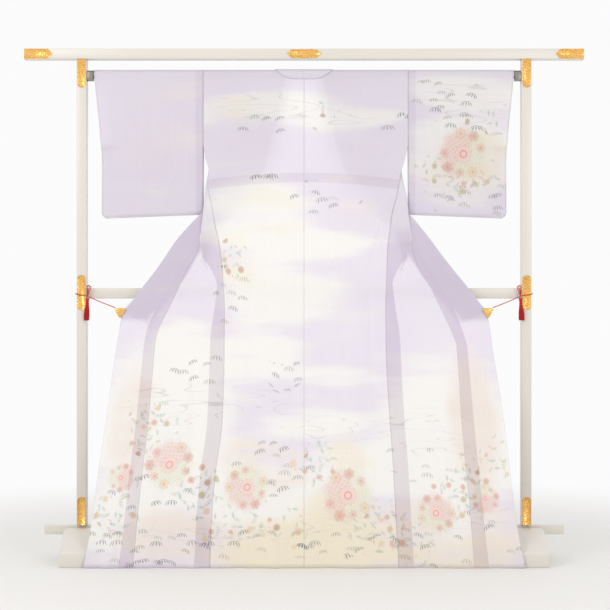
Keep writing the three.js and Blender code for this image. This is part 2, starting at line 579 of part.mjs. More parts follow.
// ---------------------------------------------------------------- clips, cords and tassels
const CLIP = {
  x: 590, top: 815, height: 31, halfWidth: 18, corner: 4, tipHalfWidth: 3.2, depth: 14, slot: 10, slotEdge: 592,
  centreY: -59.2,
};
const CORD = { radius: 1.6, sag: 1, knotX: 699, knotZ: 853, knotStandoff: 3, wrapZ: 861, knotRadius: 5.5 };
const CORD_STEPS = { wrap: 28, span: 6, loop: 10 }; // lengths that each run of cord is divided into
const TASSEL = {
  headRadius: 6, headTaper: 1, headHeight: 9, length: 76, strandRadius: 1.5, rootThickness: 0.62, tipThickness: 0.75,
  flatness: 0.6, sway: 3, inset: 1, unevenness: 3,
};
const STRAND_RINGS = [ // count, and how far from the axis the strands start and end
  { count: 7, root: 1.8, tip: 3.6 },
  { count: 15, root: 4.3, tip: 9 },
];
const KNOT_Y = -POST.depth / 2 - PLATE.thickness - FIT - CORD.radius - FIT - CORD.knotStandoff;
const LOOP_OFFSETS = [[-5, -1, 14], [-10, -1, 31], [-6, 0, 32], [-1, 1, 14]]; // across, depth, height from the knot

function clip(side) {
  const outline = new THREE.Shape();
  outline.moveTo(-CLIP.halfWidth + CLIP.corner, 0);
  outline.lineTo(CLIP.halfWidth - CLIP.corner, 0);
  outline.lineTo(CLIP.halfWidth, -CLIP.corner);
  outline.lineTo(CLIP.tipHalfWidth, -CLIP.height);
  outline.lineTo(-CLIP.tipHalfWidth, -CLIP.height);
  outline.lineTo(-CLIP.halfWidth, -CLIP.corner);
  const jawFront = CLIP.centreY - CLIP.depth / 2;
  const body = toSolid(slab(outline, jawFront, jawFront + CLIP.depth).translate(side * CLIP.x, 0, CLIP.top));
  const ends = [side * (CLIP.x - CLIP.halfWidth - CUT_MARGIN), side * CLIP.slotEdge];
  const slot = toSolid(boxBetween(
    vector(Math.min(...ends), CLIP.centreY - CLIP.slot / 2, CLIP.top - CLIP.height - CUT_MARGIN),
    vector(Math.max(...ends), CLIP.centreY + CLIP.slot / 2, CLIP.top + CUT_MARGIN),
  ));
  return fromSolid(body.subtract(slot));
}

function cordAlong(points, steps, radius = CORD.radius) {
  const section = new THREE.Shape();
  section.absarc(0, 0, radius, 0, 2 * Math.PI, false);
  const path = new THREE.CatmullRomCurve3(points, false, 'centripetal');
  return new THREE.ExtrudeGeometry(section, { steps, curveSegments: 4, bevelEnabled: false, extrudePath: path });
}

function tieCord(side) {
  const away = CORD.radius + FIT;
  const knot = vector(side * CORD.knotX, KNOT_Y, CORD.knotZ);
  const innerX = POST.x - POST.width / 2 - away;
  const outerX = POST.x + POST.width / 2 + away;
  const frontY = -POST.depth / 2 - PLATE.thickness - FIT - away;
  const backY = POST.depth / 2 + away;
  const wrapOffsets = [ // x, y, and height above the middle of the wrap
    [POST.x - 10, frontY - 0.4, CORD.knotZ + 3 - CORD.wrapZ],
    [POST.x + 12, frontY - 0.6, -2],
    [outerX + 0.5, frontY + 1.5, 0],
    [outerX + 0.6, 0, 1],
    [outerX + 0.4, backY - 1, 1],
    [POST.x, backY + 1.4, 22],
    [innerX - 1, backY + 0.6, 27],
    [innerX - 0.6, 0, 27],
    [innerX - 0.8, -POST.depth / 2 + 1, 22],
  ];
  const around = wrapOffsets.map(([x, y, height]) => vector(side * x, y, CORD.wrapZ + height));
  const wrap = cordAlong([knot, ...around, knot], CORD_STEPS.wrap);
  const clipEnd = vector(side * (CLIP.x + CLIP.halfWidth - 1.5), CLIP.centreY, CLIP.top + CORD.radius + FIT - 0.4);
  const middle = knot.clone().lerp(clipEnd, 0.5).add(vector(0, 0, -CORD.sag));
  const span = cordAlong([knot, middle, clipEnd], CORD_STEPS.span);
  const ear = LOOP_OFFSETS.map(([x, y, height]) => knot.clone().add(vector(side * x, y, height)));
  const loop = cordAlong([knot, ...ear, knot], CORD_STEPS.loop);
  const knotBall = new THREE.SphereGeometry(CORD.knotRadius, 10, 6).translate(knot.x, knot.y, knot.z);
  return join([knotBall, wrap, span, loop]);
}

function tassel(side) {
  const top = CORD.knotZ - CORD.knotRadius - FIT;
  const headTopRadius = TASSEL.headRadius - TASSEL.headTaper;
  const centre = vector(side * (CORD.knotX + TASSEL.inset), KNOT_Y, top - TASSEL.headHeight / 2);
  const head = new THREE.CylinderGeometry(headTopRadius, TASSEL.headRadius, TASSEL.headHeight, 12);
  head.rotateX(QUARTER_TURN).translate(centre.x, centre.y, centre.z);
  const radii = [TASSEL.strandRadius * TASSEL.tipThickness, TASSEL.strandRadius * TASSEL.rootThickness];
  const strandAt = ({ root, tip, count }, k, number) => {
    const turn = (2 * Math.PI * k) / count;
    const shorter = (TASSEL.unevenness * ((number * 5) % 4)) / 3;
    const length = TASSEL.length - TASSEL.headHeight - shorter;
    const strand = new THREE.CylinderGeometry(...radii, length, 4);
    strand.rotateX(QUARTER_TURN).rotateZ(turn).translate(0, 0, -length / 2 + TASSEL.inset);
    const position = strand.getAttribute('position');
    for (let n = 0; n < position.count; n += 1) {
      const share = (TASSEL.inset - position.getZ(n)) / length;
      const reach = mix(root, tip, share);
      const depthReach = mix(root, tip * TASSEL.flatness, share);
      position.setX(n, position.getX(n) + Math.cos(turn) * reach + side * TASSEL.sway * share);
      position.setY(n, position.getY(n) + Math.sin(turn) * depthReach);
    }
    return strand.translate(centre.x, centre.y, centre.z - TASSEL.headHeight / 2);
  };
  const [inner, outer] = STRAND_RINGS;
  const strands = [
    ...Array.from({ length: inner.count }, (_, k) => strandAt(inner, k, k)),
    ...Array.from({ length: outer.count }, (_, k) => strandAt(outer, k, k + inner.count)),
  ];
  return join([head, ...strands]);
}

// ---------------------------------------------------------------- the whole
for (const side of [-1, 1]) {
  const name = side < 0 ? 'left' : 'right';
  add(`back_panel_${name}`, backPanel(side), silk);
  add(`front_panel_${name}`, frontPanel(side), silk);
  add(`okumi_${name}`, okumiPanel(side), silk);
  add(`sleeve_${name}`, sleeve(side), silkSleeve);
}
add('collar', wall(collarGrid(0)), silk);
add('over_collar', wall(collarGrid(LAP, OVER_COLLAR_END_Z)), silk);

add('top_beam', boxBetween(
  vector(-BEAM.halfLength, -BEAM.depth / 2, BEAM.bottom),
  vector(BEAM.halfLength, BEAM.depth / 2, BEAM.top),
), lacquer);
const railEnd = POST.x - POST.width / 2 - FIT;
add('middle_rail', boxBetween(
  vector(-railEnd, -MID_RAIL.depth / 2, MID_RAIL.bottom),
  vector(railEnd, MID_RAIL.depth / 2, MID_RAIL.top),
), lacquer);
add('low_rail', boxBetween(
  vector(-LOW_RAIL.halfLength, -LOW_RAIL.depth / 2, LOW_RAIL.bottom),
  vector(LOW_RAIL.halfLength, LOW_RAIL.depth / 2, LOW_RAIL.top),
), lacquer);
add('hanging_rod', hangingRod(), steel);
const centrePlate = plate(BEAM.depth, PLATE.beamHalfLength, PLATE.beamHalfHeight, 'pointed', 'pointed');
add('beam_centre_plate', centrePlate.translate(0, 0, (BEAM.bottom + BEAM.top) / 2), brass);
for (const side of [-1, 1]) {
  const name = side < 0 ? 'left' : 'right';
  add(`post_${name}`, boxBetween(
    vector(side * POST.x - POST.width / 2, -POST.depth / 2, POST.bottom),
    vector(side * POST.x + POST.width / 2, POST.depth / 2, POST.top),
  ), lacquer);
  add(`foot_${name}`, foot(side), lacquer);
  add(`beam_cap_${name}`, beamCap(side), brass);
  add(`post_top_plate_${name}`, postPlate(side, POST_PLATES.top, 'round', 'square'), brass);
  add(`post_middle_plate_${name}`, postPlate(side, POST_PLATES.middle, 'round', 'round'), brass);
  add(`post_foot_plate_${name}`, postPlate(side, POST_PLATES.foot, 'square', 'round'), brass);
  add(`clip_${name}`, clip(side), brass);
  add(`tie_cord_${name}`, tieCord(side), redCord);
  add(`tassel_${name}`, tassel(side), redCord);
}

export default group;
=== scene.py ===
# %% [markdown]
# # A houmongi kimono on its stand
#
# A houmongi is a formal silk kimono. Here it hangs from the rod of an ivory lacquered stand with its back to us.
# The front panels are drawn out at both sides and held by small gilt clips on red cords.
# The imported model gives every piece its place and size. This script gives the pieces their finish:
# cloth as thin sheets with soft creases and a dyed pattern, bevelled lacquer, engraved gilt plates, twisted cords.

import math
import random
from functools import lru_cache, partial

import bmesh
import bpy
from mathutils import Matrix, Vector


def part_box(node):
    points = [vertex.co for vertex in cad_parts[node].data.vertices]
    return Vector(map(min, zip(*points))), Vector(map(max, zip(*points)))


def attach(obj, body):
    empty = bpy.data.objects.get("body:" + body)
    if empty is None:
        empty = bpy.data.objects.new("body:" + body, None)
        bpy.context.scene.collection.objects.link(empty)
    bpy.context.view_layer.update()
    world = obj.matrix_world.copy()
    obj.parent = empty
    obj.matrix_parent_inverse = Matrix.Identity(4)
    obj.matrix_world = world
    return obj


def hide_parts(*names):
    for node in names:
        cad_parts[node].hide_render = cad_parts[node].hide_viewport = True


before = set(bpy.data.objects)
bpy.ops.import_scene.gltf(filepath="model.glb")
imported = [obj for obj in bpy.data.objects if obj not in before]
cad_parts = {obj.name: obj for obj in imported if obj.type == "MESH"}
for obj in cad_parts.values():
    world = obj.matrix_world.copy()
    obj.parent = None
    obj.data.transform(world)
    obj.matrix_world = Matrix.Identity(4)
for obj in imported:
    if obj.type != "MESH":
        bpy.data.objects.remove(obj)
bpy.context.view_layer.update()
MM = 0.001
STAND_Y = 9  # millimetres: the plane of the posts
print("pieces in the packed model:", len(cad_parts))

# %% [markdown]
# ## Camera
# The whole width of a kimono stand is best seen from far off with a long lens, because that keeps the uprights
# upright and the hem nearly as wide as it is. The camera stands level with the middle of the stand.

# %% Camera
CAMERA_HEIGHT = 0.825
CAMERA_DISTANCE = 5.2  # from the plane of the posts
CAMERA_LENS = 94.5  # millimetres, on a 36 mm sensor

camera_data = bpy.data.cameras.new("camera")
camera_data.lens = CAMERA_LENS
camera_data.sensor_width = 36
camera = bpy.data.objects.new("camera", camera_data)
camera.location = (0.003, STAND_Y * MM - CAMERA_DISTANCE, CAMERA_HEIGHT)
camera.rotation_euler = (math.radians(90), 0, 0)
bpy.context.scene.collection.objects.link(camera)
bpy.context.scene.camera = camera
print("camera", tuple(round(c, 3) for c in camera.location))

# %% [markdown]
# ## Small helpers for meshes
# A finished piece keeps its place in its mesh, and its object stays at the origin. So one helper turns a bmesh
# into an object, shades it, gives it a material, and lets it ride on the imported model.

# %% Mesh helpers
def placed(name, data):
    """An object in the scene for a mesh or a lamp."""
    made = bpy.data.objects.new(name, data)
    bpy.context.scene.collection.objects.link(made)
    return made


def finish_piece(bm, name, material, replaced, sharp_angle=40):
    mesh = bpy.data.meshes.new(name)
    bm.to_mesh(mesh)
    bm.free()
    piece = placed(name, mesh)
    mesh.materials.append(material)
    mesh.shade_smooth()
    mesh.set_sharp_from_angle(angle=math.radians(sharp_angle))
    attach(piece, "root")
    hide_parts(*replaced)
    return piece


def edges_of(verts):
    return list({e for v in verts for e in v.link_edges})


def mix(a, b, share):
    return a + (b - a) * share


def clamp01(value):
    return min(1.0, max(0.0, value))


def ease(share):
    s = clamp01(share)
    return s * s * (3 - 2 * s)


SIDES = {"left": -1, "right": 1}
print("sides:", SIDES)

# %% [markdown]
# ## Small helpers for materials
# Materials are trees of small nodes. Writing each link by hand is long, so `node` makes a node in the newest
# material's tree and links or sets its inputs. One short word stands for each step of arithmetic: `times`, `over`
# and so on. Each helper gives back something that the next step can take in.

# %% Material helpers
bench = {}


def new_material(name):
    """An empty material. The nodes made after it go into its tree."""
    material = bpy.data.materials.new(name)
    material.use_nodes = True
    bench["tree"] = material.node_tree
    bench["tree"].nodes.clear()
    return material


def node(kind, inputs=None, **settings):
    """A node with its settings and inputs. An input is a number, a socket, or a node for its first output."""
    made = bench["tree"].nodes.new(f"ShaderNode{kind}")
    for key, value in settings.items():
        setattr(made, key, value)
    for key, value in (inputs or {}).items():
        if isinstance(value, bpy.types.Node):
            value = value.outputs[0]
        if isinstance(value, bpy.types.NodeSocket):
            bench["tree"].links.new(value, made.inputs[key])
        else:
            made.inputs[key].default_value = value
    return made


def maths(operation, a, b=0.0, c=0.0, clamp=False):
    return node("Math", {0: a, 1: b, 2: c}, operation=operation, use_clamp=clamp).outputs[0]


times, times_plus, minus, over, power, larger, positive, rounded, fraction, sine = (
    partial(maths, operation) for operation in (
        "MULTIPLY", "MULTIPLY_ADD", "SUBTRACT", "DIVIDE", "POWER", "MAXIMUM", "ABSOLUTE", "ROUND", "FRACT", "SINE"))


def vectors(operation, *inputs):
    """One step of arithmetic on places."""
    made = node("VectorMath", dict(enumerate(inputs)), operation=operation)
    return made.outputs["Value" if operation == "LENGTH" else "Vector"]


def axes(place):
    parts = node("SeparateXYZ", {0: place})
    return parts.outputs["X"], parts.outputs["Y"]


def noise(place, scale, detail):
    return node("TexNoise", {"Vector": place, "Scale": scale, "Detail": detail}).outputs["Fac"]


def stretched(place, *scale):
    return node("Mapping", {"Vector": place, "Scale": scale})


def bump(height, strength, distance):
    return node("Bump", {"Height": height, "Strength": strength, "Distance": distance})


def colour_mix(factor, a, b, kind="MIX"):
    return node("Mix", {"Factor": factor, 6: a, 7: b}, data_type="RGBA", blend_type=kind).outputs[2]


def soft_step(value, low, high):
    return node("MapRange", {"Value": value, "From Min": low, "From Max": high},
                interpolation_type="SMOOTHSTEP").outputs["Result"]


def under(value, limit, softness):
    """1 where a value is below a limit, with a soft edge."""
    return over(minus(limit, value), softness, clamp=True)


def close_to(value, centre, width, softness):
    """1 where a value is less than a width away from a centre, with a soft edge."""
    return under(positive(minus(value, centre)), width, softness)


def paint(red, green, blue):
    """A colour as it looks on screen (0 to 255), as the linear values that shaders use."""
    def linear(channel):
        c = channel / 255
        return c / 12.92 if c <= 0.04045 else ((c + 0.055) / 1.055) ** 2.4
    return (linear(red), linear(green), linear(blue), 1.0)


def finish_material(material, shader):
    node("OutputMaterial", {"Surface": shader})
    return material


print("middle grey as linear light:", round(paint(128, 128, 128)[0], 3))


# %% [markdown]
# ## How the cloth hangs
# A kimono is cut from straight strips: two back strips 30 cm wide, two fronts of 24 cm and two overlap strips
# (okumi) of 15 cm. The table says, level by level, where the seams between them lie when the kimono is spread on
# its stand. A tailor would measure it with a rule, in millimetres, so the table is in millimetres too.
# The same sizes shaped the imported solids, so the sheets made here lie inside their own solids. Only the fronts
# swell up to 70 mm further out beside the hips, where soft cloth turns back on itself before it spreads.

# %% The table of levels
COLUMNS = ["z", "side_l", "side_r", "okumi_l", "okumi_r", "edge_l", "edge_r",
           "wrap", "front_y", "okumi_y", "edge_y", "tuck_in", "tuck_back"]
LEVEL_ROWS = [
    [1573, 326, 337, 92, 92, 92, 92, 0, 15.4, 15.4, 15.4, 0, 0],
    [1535, 326, 337, 98, 98, 98, 98, 1, 16, 16, 16, 0, 4],
    [1480, 326, 337, 108, 107, 108, 107, 3, 17, 17, 17, 0, 8],
    [1422, 326, 337, 122, 120, 122, 120, 4, 18, 18, 18, 0, 12],
    [1354, 326, 337, 138, 136, 138, 136, 6, 17, 20, 20, 0, 4],
    [1300, 319, 327, 152, 150, 152, 150, 9, 8, 24, 24, 20, 0],
    [1257, 308, 314, 164, 162, 169, 167, 12, -10, 26, 26, 62, 0],
    [1214, 312, 306, 190, 188, 215, 213, 14, -26, 22, 20, 96, 0],
    [1170, 303, 297, 232, 230, 272, 270, 16, 0, 8, 2, 118, 0],
    [1117, 292, 283, 282, 283, 338, 342, 18, 0, -12, -18, 122, 6],
    [1071, 284, 277, 318, 328, 381, 381, 19, 0, -22, -27, 108, 12],
    [1039, 276, 272, 333, 344, 409, 406, 20, 0, -28, -33, 92, 16],
    [997, 269, 268, 344, 352, 437, 436, 21, 0, -37, -39, 74, 18],
    [932, 262, 266, 380, 374, 481, 486, 22, 0, -48, -47, 48, 17],
    [887, 259, 264, 400, 403, 516, 522, 22, 0, -55, -52, 28, 15],
    [841, 256, 262, 420, 426, 550, 557, 22, 0, -61, -57, 14, 12],
    [799, 255, 262, 441, 446, 582, 586, 21, 0, -68, -61, 6, 8],
    [740, 255, 262, 468, 472, 593, 597, 20, 0, -77, -70, 0, 5],
    [690, 255, 262, 477, 488, 600, 603, 19, 0, -85, -78, 0, 3],
    [600, 256, 265, 483, 493, 612, 615, 17, 0, -100, -94, 0, 2],
    [450, 260, 273, 494, 500, 630, 636, 13, 0, -123, -119, 0, 0],
    [300, 279, 283, 510, 512, 650, 651, 8, 0, -145, -142, 0, 0],
    [150, 291, 289, 524, 524, 667, 667, 4, 0, -166, -164, 0, 0],
    [60, 293, 294, 531, 530, 681, 682, 1, 0, -178, -177, 0, 0],
    [1, 295, 296, 538, 533, 692, 695, 0, 0, -187, -187, 0, 0],
]
SECTIONS = [dict(zip(COLUMNS, row)) for row in LEVEL_ROWS]
SWELL_ROWS = [  # level, then how far each front's first control point is moved outwards, left and right
    [1573, 0, 0], [1354, 0, 0], [1300, -10, -10], [1257, 72, 81], [1214, 89, 132], [1170, 119, 167],
    [1117, 139, 183], [1071, 144, 179], [1039, 151, 174], [997, 148, 164], [932, 40, 40], [887, -10, -10],
    [799, -8, -8], [740, 0, 0], [1, 0, 0],
]
SWELL = [dict(zip(["z", "left", "right"], row)) for row in SWELL_ROWS]


def column(table, name, z):
    """The table's value at any level, on a smooth curve that never overshoots its rows (highest row first)."""
    last = len(table) - 1
    if z >= table[0]["z"]:
        return table[0][name]
    if z <= table[last]["z"]:
        return table[last][name]
    k = next(i for i in range(last) if table[i]["z"] >= z >= table[i + 1]["z"])

    def slope(i):
        return (table[i + 1][name] - table[i][name]) / (table[i + 1]["z"] - table[i]["z"])

    def tangent(i):
        if i == 0:
            return slope(0)
        if i == last:
            return slope(last - 1)
        before, after = slope(i - 1), slope(i)
        return 0 if before * after <= 0 else 2 * before * after / (before + after)

    span = table[k + 1]["z"] - table[k]["z"]
    s = (z - table[k]["z"]) / span
    value = (2 * s**3 - 3 * s**2 + 1) * table[k][name] + (3 * s**2 - 2 * s**3) * table[k + 1][name]
    return value + span * ((s**3 - 2 * s**2 + s) * tangent(k) + (s**3 - s**2) * tangent(k + 1))


@lru_cache(maxsize=None)
def level(name, side, z):
    """A column of the table; the seam columns have one value a side."""
    if name in ("side", "okumi", "edge"):
        name = f"{name}_{'l' if side < 0 else 'r'}"
    return column(SECTIONS, name, z)


print("levels in the table:", len(SECTIONS))

# %% [markdown]
# ## Folds and creases
# Silk this light hangs in a few long soft folds, and keeps faint creases where it was folded in its chest or where
# the clips pull at it. Each row below is one of them. A fold runs straight down and fades out.
# A crease is a short soft trough or ridge between two points of the flat cut.

# %% Folds and creases
FOLDS = [  # side, place across the cut, half width, depth towards the front, and its upper and lower ends
    (-1, 96, 46, 5, 930, 0), (-1, 205, 40, -6, 1080, 0), (-1, 352, 34, 6, 760, 0),
    (-1, 462, 38, -7, 700, 0), (-1, 618, 30, 6, 740, 0),
    (1, 78, 40, -5, 820, 0), (1, 176, 48, 6, 1010, 0), (1, 372, 40, -7, 730, 0),
    (1, 488, 34, 6, 690, 0), (1, 606, 30, -6, 720, 0),
]
CREASES = [  # side, across and level of both ends, half width, depth (above 0 is a ridge)
    (-1, 292, 1190, 190, 1050, 16, 1.6), (-1, 285, 1120, 222, 900, 14, -1.4), (-1, 40, 1540, 78, 1330, 18, -1.5),
    (-1, 150, 1545, 120, 1290, 20, 1.4), (-1, 250, 1500, 196, 1260, 16, -1.6), (-1, 30, 1180, 52, 800, 17, 1.2),
    (-1, 128, 1150, 150, 700, 22, -1.7), (-1, 262, 860, 246, 520, 14, 1.5), (-1, 30, 640, 44, 210, 15, -1.5),
    (-1, 160, 520, 172, 40, 20, 1.8), (-1, 250, 420, 262, 30, 15, -1.5), (-1, 70, 300, 60, 20, 14, 1.2),
    (1, 290, 1185, 214, 1080, 15, 1.7), (1, 280, 1105, 232, 930, 13, -1.5), (1, 52, 1535, 96, 1300, 18, 1.4),
    (1, 168, 1540, 140, 1310, 19, -1.5), (1, 262, 1480, 218, 1250, 17, 1.6), (1, 24, 1150, 36, 860, 15, -1.3),
    (1, 106, 1160, 124, 760, 21, 1.6), (1, 236, 900, 250, 500, 16, -1.7), (1, 34, 560, 24, 120, 14, 1.4),
    (1, 130, 430, 142, 30, 19, -1.6), (1, 222, 380, 214, 20, 17, 1.5), (1, 60, 700, 70, 420, 16, 1.1),
    (-1, 672, 792, 560, 520, 12, 1.9), (-1, 668, 770, 610, 300, 10, -1.6), (-1, 655, 760, 440, 640, 13, 1.7),
    (-1, 680, 700, 664, 90, 9, 1.5), (-1, 500, 640, 520, 60, 18, 1.7), (-1, 400, 620, 388, 120, 17, -1.8),
    (-1, 325, 700, 330, 330, 13, 1.3), (-1, 430, 360, 440, 20, 16, 1.5), (-1, 575, 330, 590, 20, 13, -1.6),
    (1, 670, 790, 572, 470, 12, 1.8), (1, 666, 765, 620, 340, 10, -1.7), (1, 652, 752, 452, 610, 13, 1.6),
    (1, 678, 660, 670, 120, 9, 1.3), (1, 520, 600, 512, 90, 17, -1.7), (1, 425, 560, 440, 60, 19, 1.8),
    (1, 335, 640, 342, 260, 14, -1.4), (1, 392, 330, 400, 20, 15, 1.3), (1, 590, 420, 574, 20, 14, 1.5),
    (-1, 330, 1530, 352, 1300, 15, -1.2), (-1, 440, 1520, 420, 1240, 18, 1.4),
    (1, 345, 1520, 330, 1290, 14, 1.3), (1, 430, 1530, 452, 1260, 17, -1.4),
]
STORAGE_FOLDS = [(870, 5, -0.5), (560, 5, 0.45), (330, 5, -0.4)]  # level, half width, depth of pressed fold lines


def bump_profile(reach):
    return 0.5 + 0.5 * math.cos(math.pi * reach) if reach < 1 else 0.0


def fold_depth(side, across, z):
    """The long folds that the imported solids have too. Below 0 is towards the viewer of the back."""
    depth = 0.0
    for fold_side, place, width, height, top, bottom in FOLDS:
        if fold_side == side:
            depth += height * ease((top - z) / (top - bottom)) * bump_profile(abs(across - place) / width)
    return -depth


def crease_depth(side, across, z):
    """The fine creases that only the cloth made here has."""
    depth = 0.0
    for crease_side, across_0, z_0, across_1, z_1, width, height in CREASES:
        if crease_side != side:
            continue
        along_x, along_z = across_1 - across_0, z_1 - z_0
        length_2 = along_x**2 + along_z**2
        share = ((across - across_0) * along_x + (z - z_0) * along_z) / length_2
        if not -0.1 < share < 1.1:
            continue
        gap = abs((across - across_0) * along_z - (z - z_0) * along_x) / math.sqrt(length_2)
        fade = ease((share + 0.1) / 0.3) * ease((1.1 - share) / 0.4)
        depth += height * fade * bump_profile(gap / width)
    for place, width, height in STORAGE_FOLDS:
        depth += height * bump_profile(abs(z - place) / width)
    return -depth


print("long folds:", len(FOLDS), "creases:", len(CREASES) + len(STORAGE_FOLDS))

# %% [markdown]
# ## Where a point of the cloth lies
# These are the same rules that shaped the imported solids, in millimetres about the plane of the posts:
# the back hangs in front of the rod and flares to the hem, the front swings out beside it, and everything above
# bends over the rod in a half circle.

# %% Places on the cloth
ROD_Z = 1573
DRAPE_RADIUS = 15.2  # middle of the cloth over the rod
SHOULDER_ARC = DRAPE_RADIUS * math.pi / 2
HEM_REACH, HEM_CURVE, HEM_Z = 171, 1.25, 1
CUT = {"back": 300, "front": 240, "okumi": 150}
NECK_HALF_WIDTH, NECK_BACK_DROP = 92, 38
SLIT_Z, OKUMI_TOP_Z, COLLAR_END_Z, OVER_COLLAR_END_Z = 1214, 1257, 799, 1257
LAP = 1.9  # one layer lying on another
SEAM_GAP = 0.15  # half the gap between two panels at a seam
COLLAR_WIDTHS = {"upper": 56, "wing": 92, "upper_z": 1257, "wing_z": 932}
SEAM_DIP, SEAM_DIP_WIDTH = 0.5, 4  # pressed seams pull the cloth in a little


def hanging_depth(z):
    return -DRAPE_RADIUS - HEM_REACH * clamp01(1 - z / ROD_Z) ** HEM_CURVE


def back_depth(side, share, z):
    wrap = level("wrap", side, z) * share**2
    return hanging_depth(z) + wrap + fold_depth(side, share * CUT["back"], z)


def draped_point(x, down, lift=0.0):
    """A point near the rod, by its distance down from the shoulder line (below 0 is the back)."""
    radius = DRAPE_RADIUS + lift
    facing = -1 if down < 0 else 1
    length = abs(down)
    if length <= SHOULDER_ARC:
        angle = length / DRAPE_RADIUS
        return Vector((x, facing * radius * math.sin(angle), ROD_Z + radius * math.cos(angle)))
    return Vector((x, facing * radius, ROD_Z - (length - SHOULDER_ARC)))


def neckline_drop(x):
    return 0 if x >= NECK_HALF_WIDTH else NECK_BACK_DROP * (1 - (x / NECK_HALF_WIDTH) ** 4)


@lru_cache(maxsize=None)
def front_curve(side, z):
    """The four control points of the front panel's curve at a level, and its free edge."""
    seam = level("front_y", side, z) if z > SLIT_Z - 1 else back_depth(side, 1, z) + LAP
    start = Vector((level("side", side, z), seam, z))
    end = Vector((level("okumi", side, z), level("okumi_y", side, z), z))
    edge = Vector((level("edge", side, z), level("edge_y", side, z), z))
    tuck_in, tuck_back = level("tuck_in", side, z) * 4 / 3, level("tuck_back", side, z)
    third = (end - start) / 3
    swell = column(SWELL, "left" if side < 0 else "right", z)
    inner = start + third + Vector((swell, tuck_back * 0.3 + max(0, swell) * 0.04, 0))
    outer = end - third + Vector((-tuck_in, tuck_back, 0))
    return start, inner, outer, end, edge


def folded(point, side, share, across, z):
    """Adds the folds and creases of a strip, which fade out at the seams on both its edges."""
    fade = math.sin(math.pi * clamp01(share)) ** 0.5
    point.y += (fold_depth(side, across, z) + crease_depth(side, across, z)) * fade
    return point


def front_point(side, share, z):
    a, b, c, d, _ = front_curve(side, z)
    t, r = share, 1 - share
    point = a * r**3 + b * (3 * r * r * t) + c * (3 * r * t * t) + d * t**3
    return folded(point, side, share, CUT["back"] + share * CUT["front"], z)


def okumi_point(side, share, z):
    end, edge = front_curve(side, z)[3:]
    return folded(end.lerp(edge, share), side, share, CUT["back"] + CUT["front"] + share * CUT["okumi"], z)


print("hem reaches", round(-hanging_depth(HEM_Z)), "mm forward of the rod")

# %% [markdown]
# ## The design of the dyeing
# On a houmongi the picture runs across the seams, heaviest at the hem, with a little at the shoulders and on the
# sleeves. Here it is mist banks in white, cream and a faint peach, flower roundels, blossoms, leaves, bamboo grass
# and fine flowing lines.
# The banks are soft, so each one can be worked out at the corners of the mesh and stored there as an attribute.
# The material reads these attributes and draws the small motifs itself. Places are on the flat cut, in metres:
# across from the centre of the back (left is below 0), and up from the hem. Sleeves start at 2.0 across.

# %% Banks of mist, gardens and roundels
SLEEVE_AT = 2.0
MIST = [  # across, up, half width, half height, strength: undyed white
    (-0.10, 1.47, 0.20, 0.045, 0.8), (0.12, 1.43, 0.16, 0.035, 0.75), (-0.15, 1.08, 0.17, 0.14, 0.95),
    (0.04, 1.02, 0.22, 0.045, 0.75), (-0.10, 0.86, 0.22, 0.10, 0.9), (0.12, 0.60, 0.16, 0.035, 0.6),
    (-0.20, 0.66, 0.20, 0.08, 0.85), (-0.50, 0.44, 0.24, 0.26, 0.95), (0.02, 0.45, 0.20, 0.05, 0.75),
    (0.50, 0.40, 0.24, 0.24, 0.95), (0.20, 0.30, 0.20, 0.09, 0.8), (-0.14, 0.22, 0.22, 0.12, 0.85),
    (-0.60, 0.14, 0.16, 0.10, 0.7), (0.46, 0.12, 0.20, 0.07, 0.6), (-0.44, 0.72, 0.10, 0.05, 0.6),
    (-0.42, 1.44, 0.16, 0.05, 0.8), (0.42, 1.47, 0.12, 0.04, 0.6),
    (2.18, 0.40, 0.20, 0.05, 0.8), (2.20, 0.20, 0.20, 0.15, 0.9), (-2.18, 4.28, 0.18, 0.12, 0.9),
]
CREAM = [  # across, up, half width, half height, strength: warm yellow
    (0.02, 0.06, 0.32, 0.10, 0.9), (0.12, 0.17, 0.13, 0.09, 0.7), (-0.10, 1.12, 0.12, 0.08, 0.35),
    (-0.24, 0.96, 0.08, 0.10, 0.4), (0.14, 0.34, 0.08, 0.07, 0.5), (-0.22, 0.34, 0.08, 0.07, 0.4),
    (0.50, 0.04, 0.20, 0.06, 0.6), (-0.20, 1.46, 0.08, 0.04, 0.4), (2.22, 0.20, 0.13, 0.08, 0.6),
    (-2.20, 4.20, 0.12, 0.08, 0.6),
]
BLUSH = [  # across, up, half width, half height, strength: a faint peach
    (0.58, 0.46, 0.09, 0.22, 0.8), (-0.60, 0.46, 0.08, 0.18, 0.6), (-0.44, 0.10, 0.16, 0.08, 0.7),
    (0.36, 0.14, 0.12, 0.08, 0.6), (-0.10, 0.30, 0.14, 0.08, 0.5), (0.62, 0.12, 0.10, 0.10, 0.5),
    (-2.12, 0.30, 0.14, 0.14, 0.2), (0.16, 1.10, 0.10, 0.06, 0.3), (2.20, 0.12, 0.14, 0.06, 0.5),
]
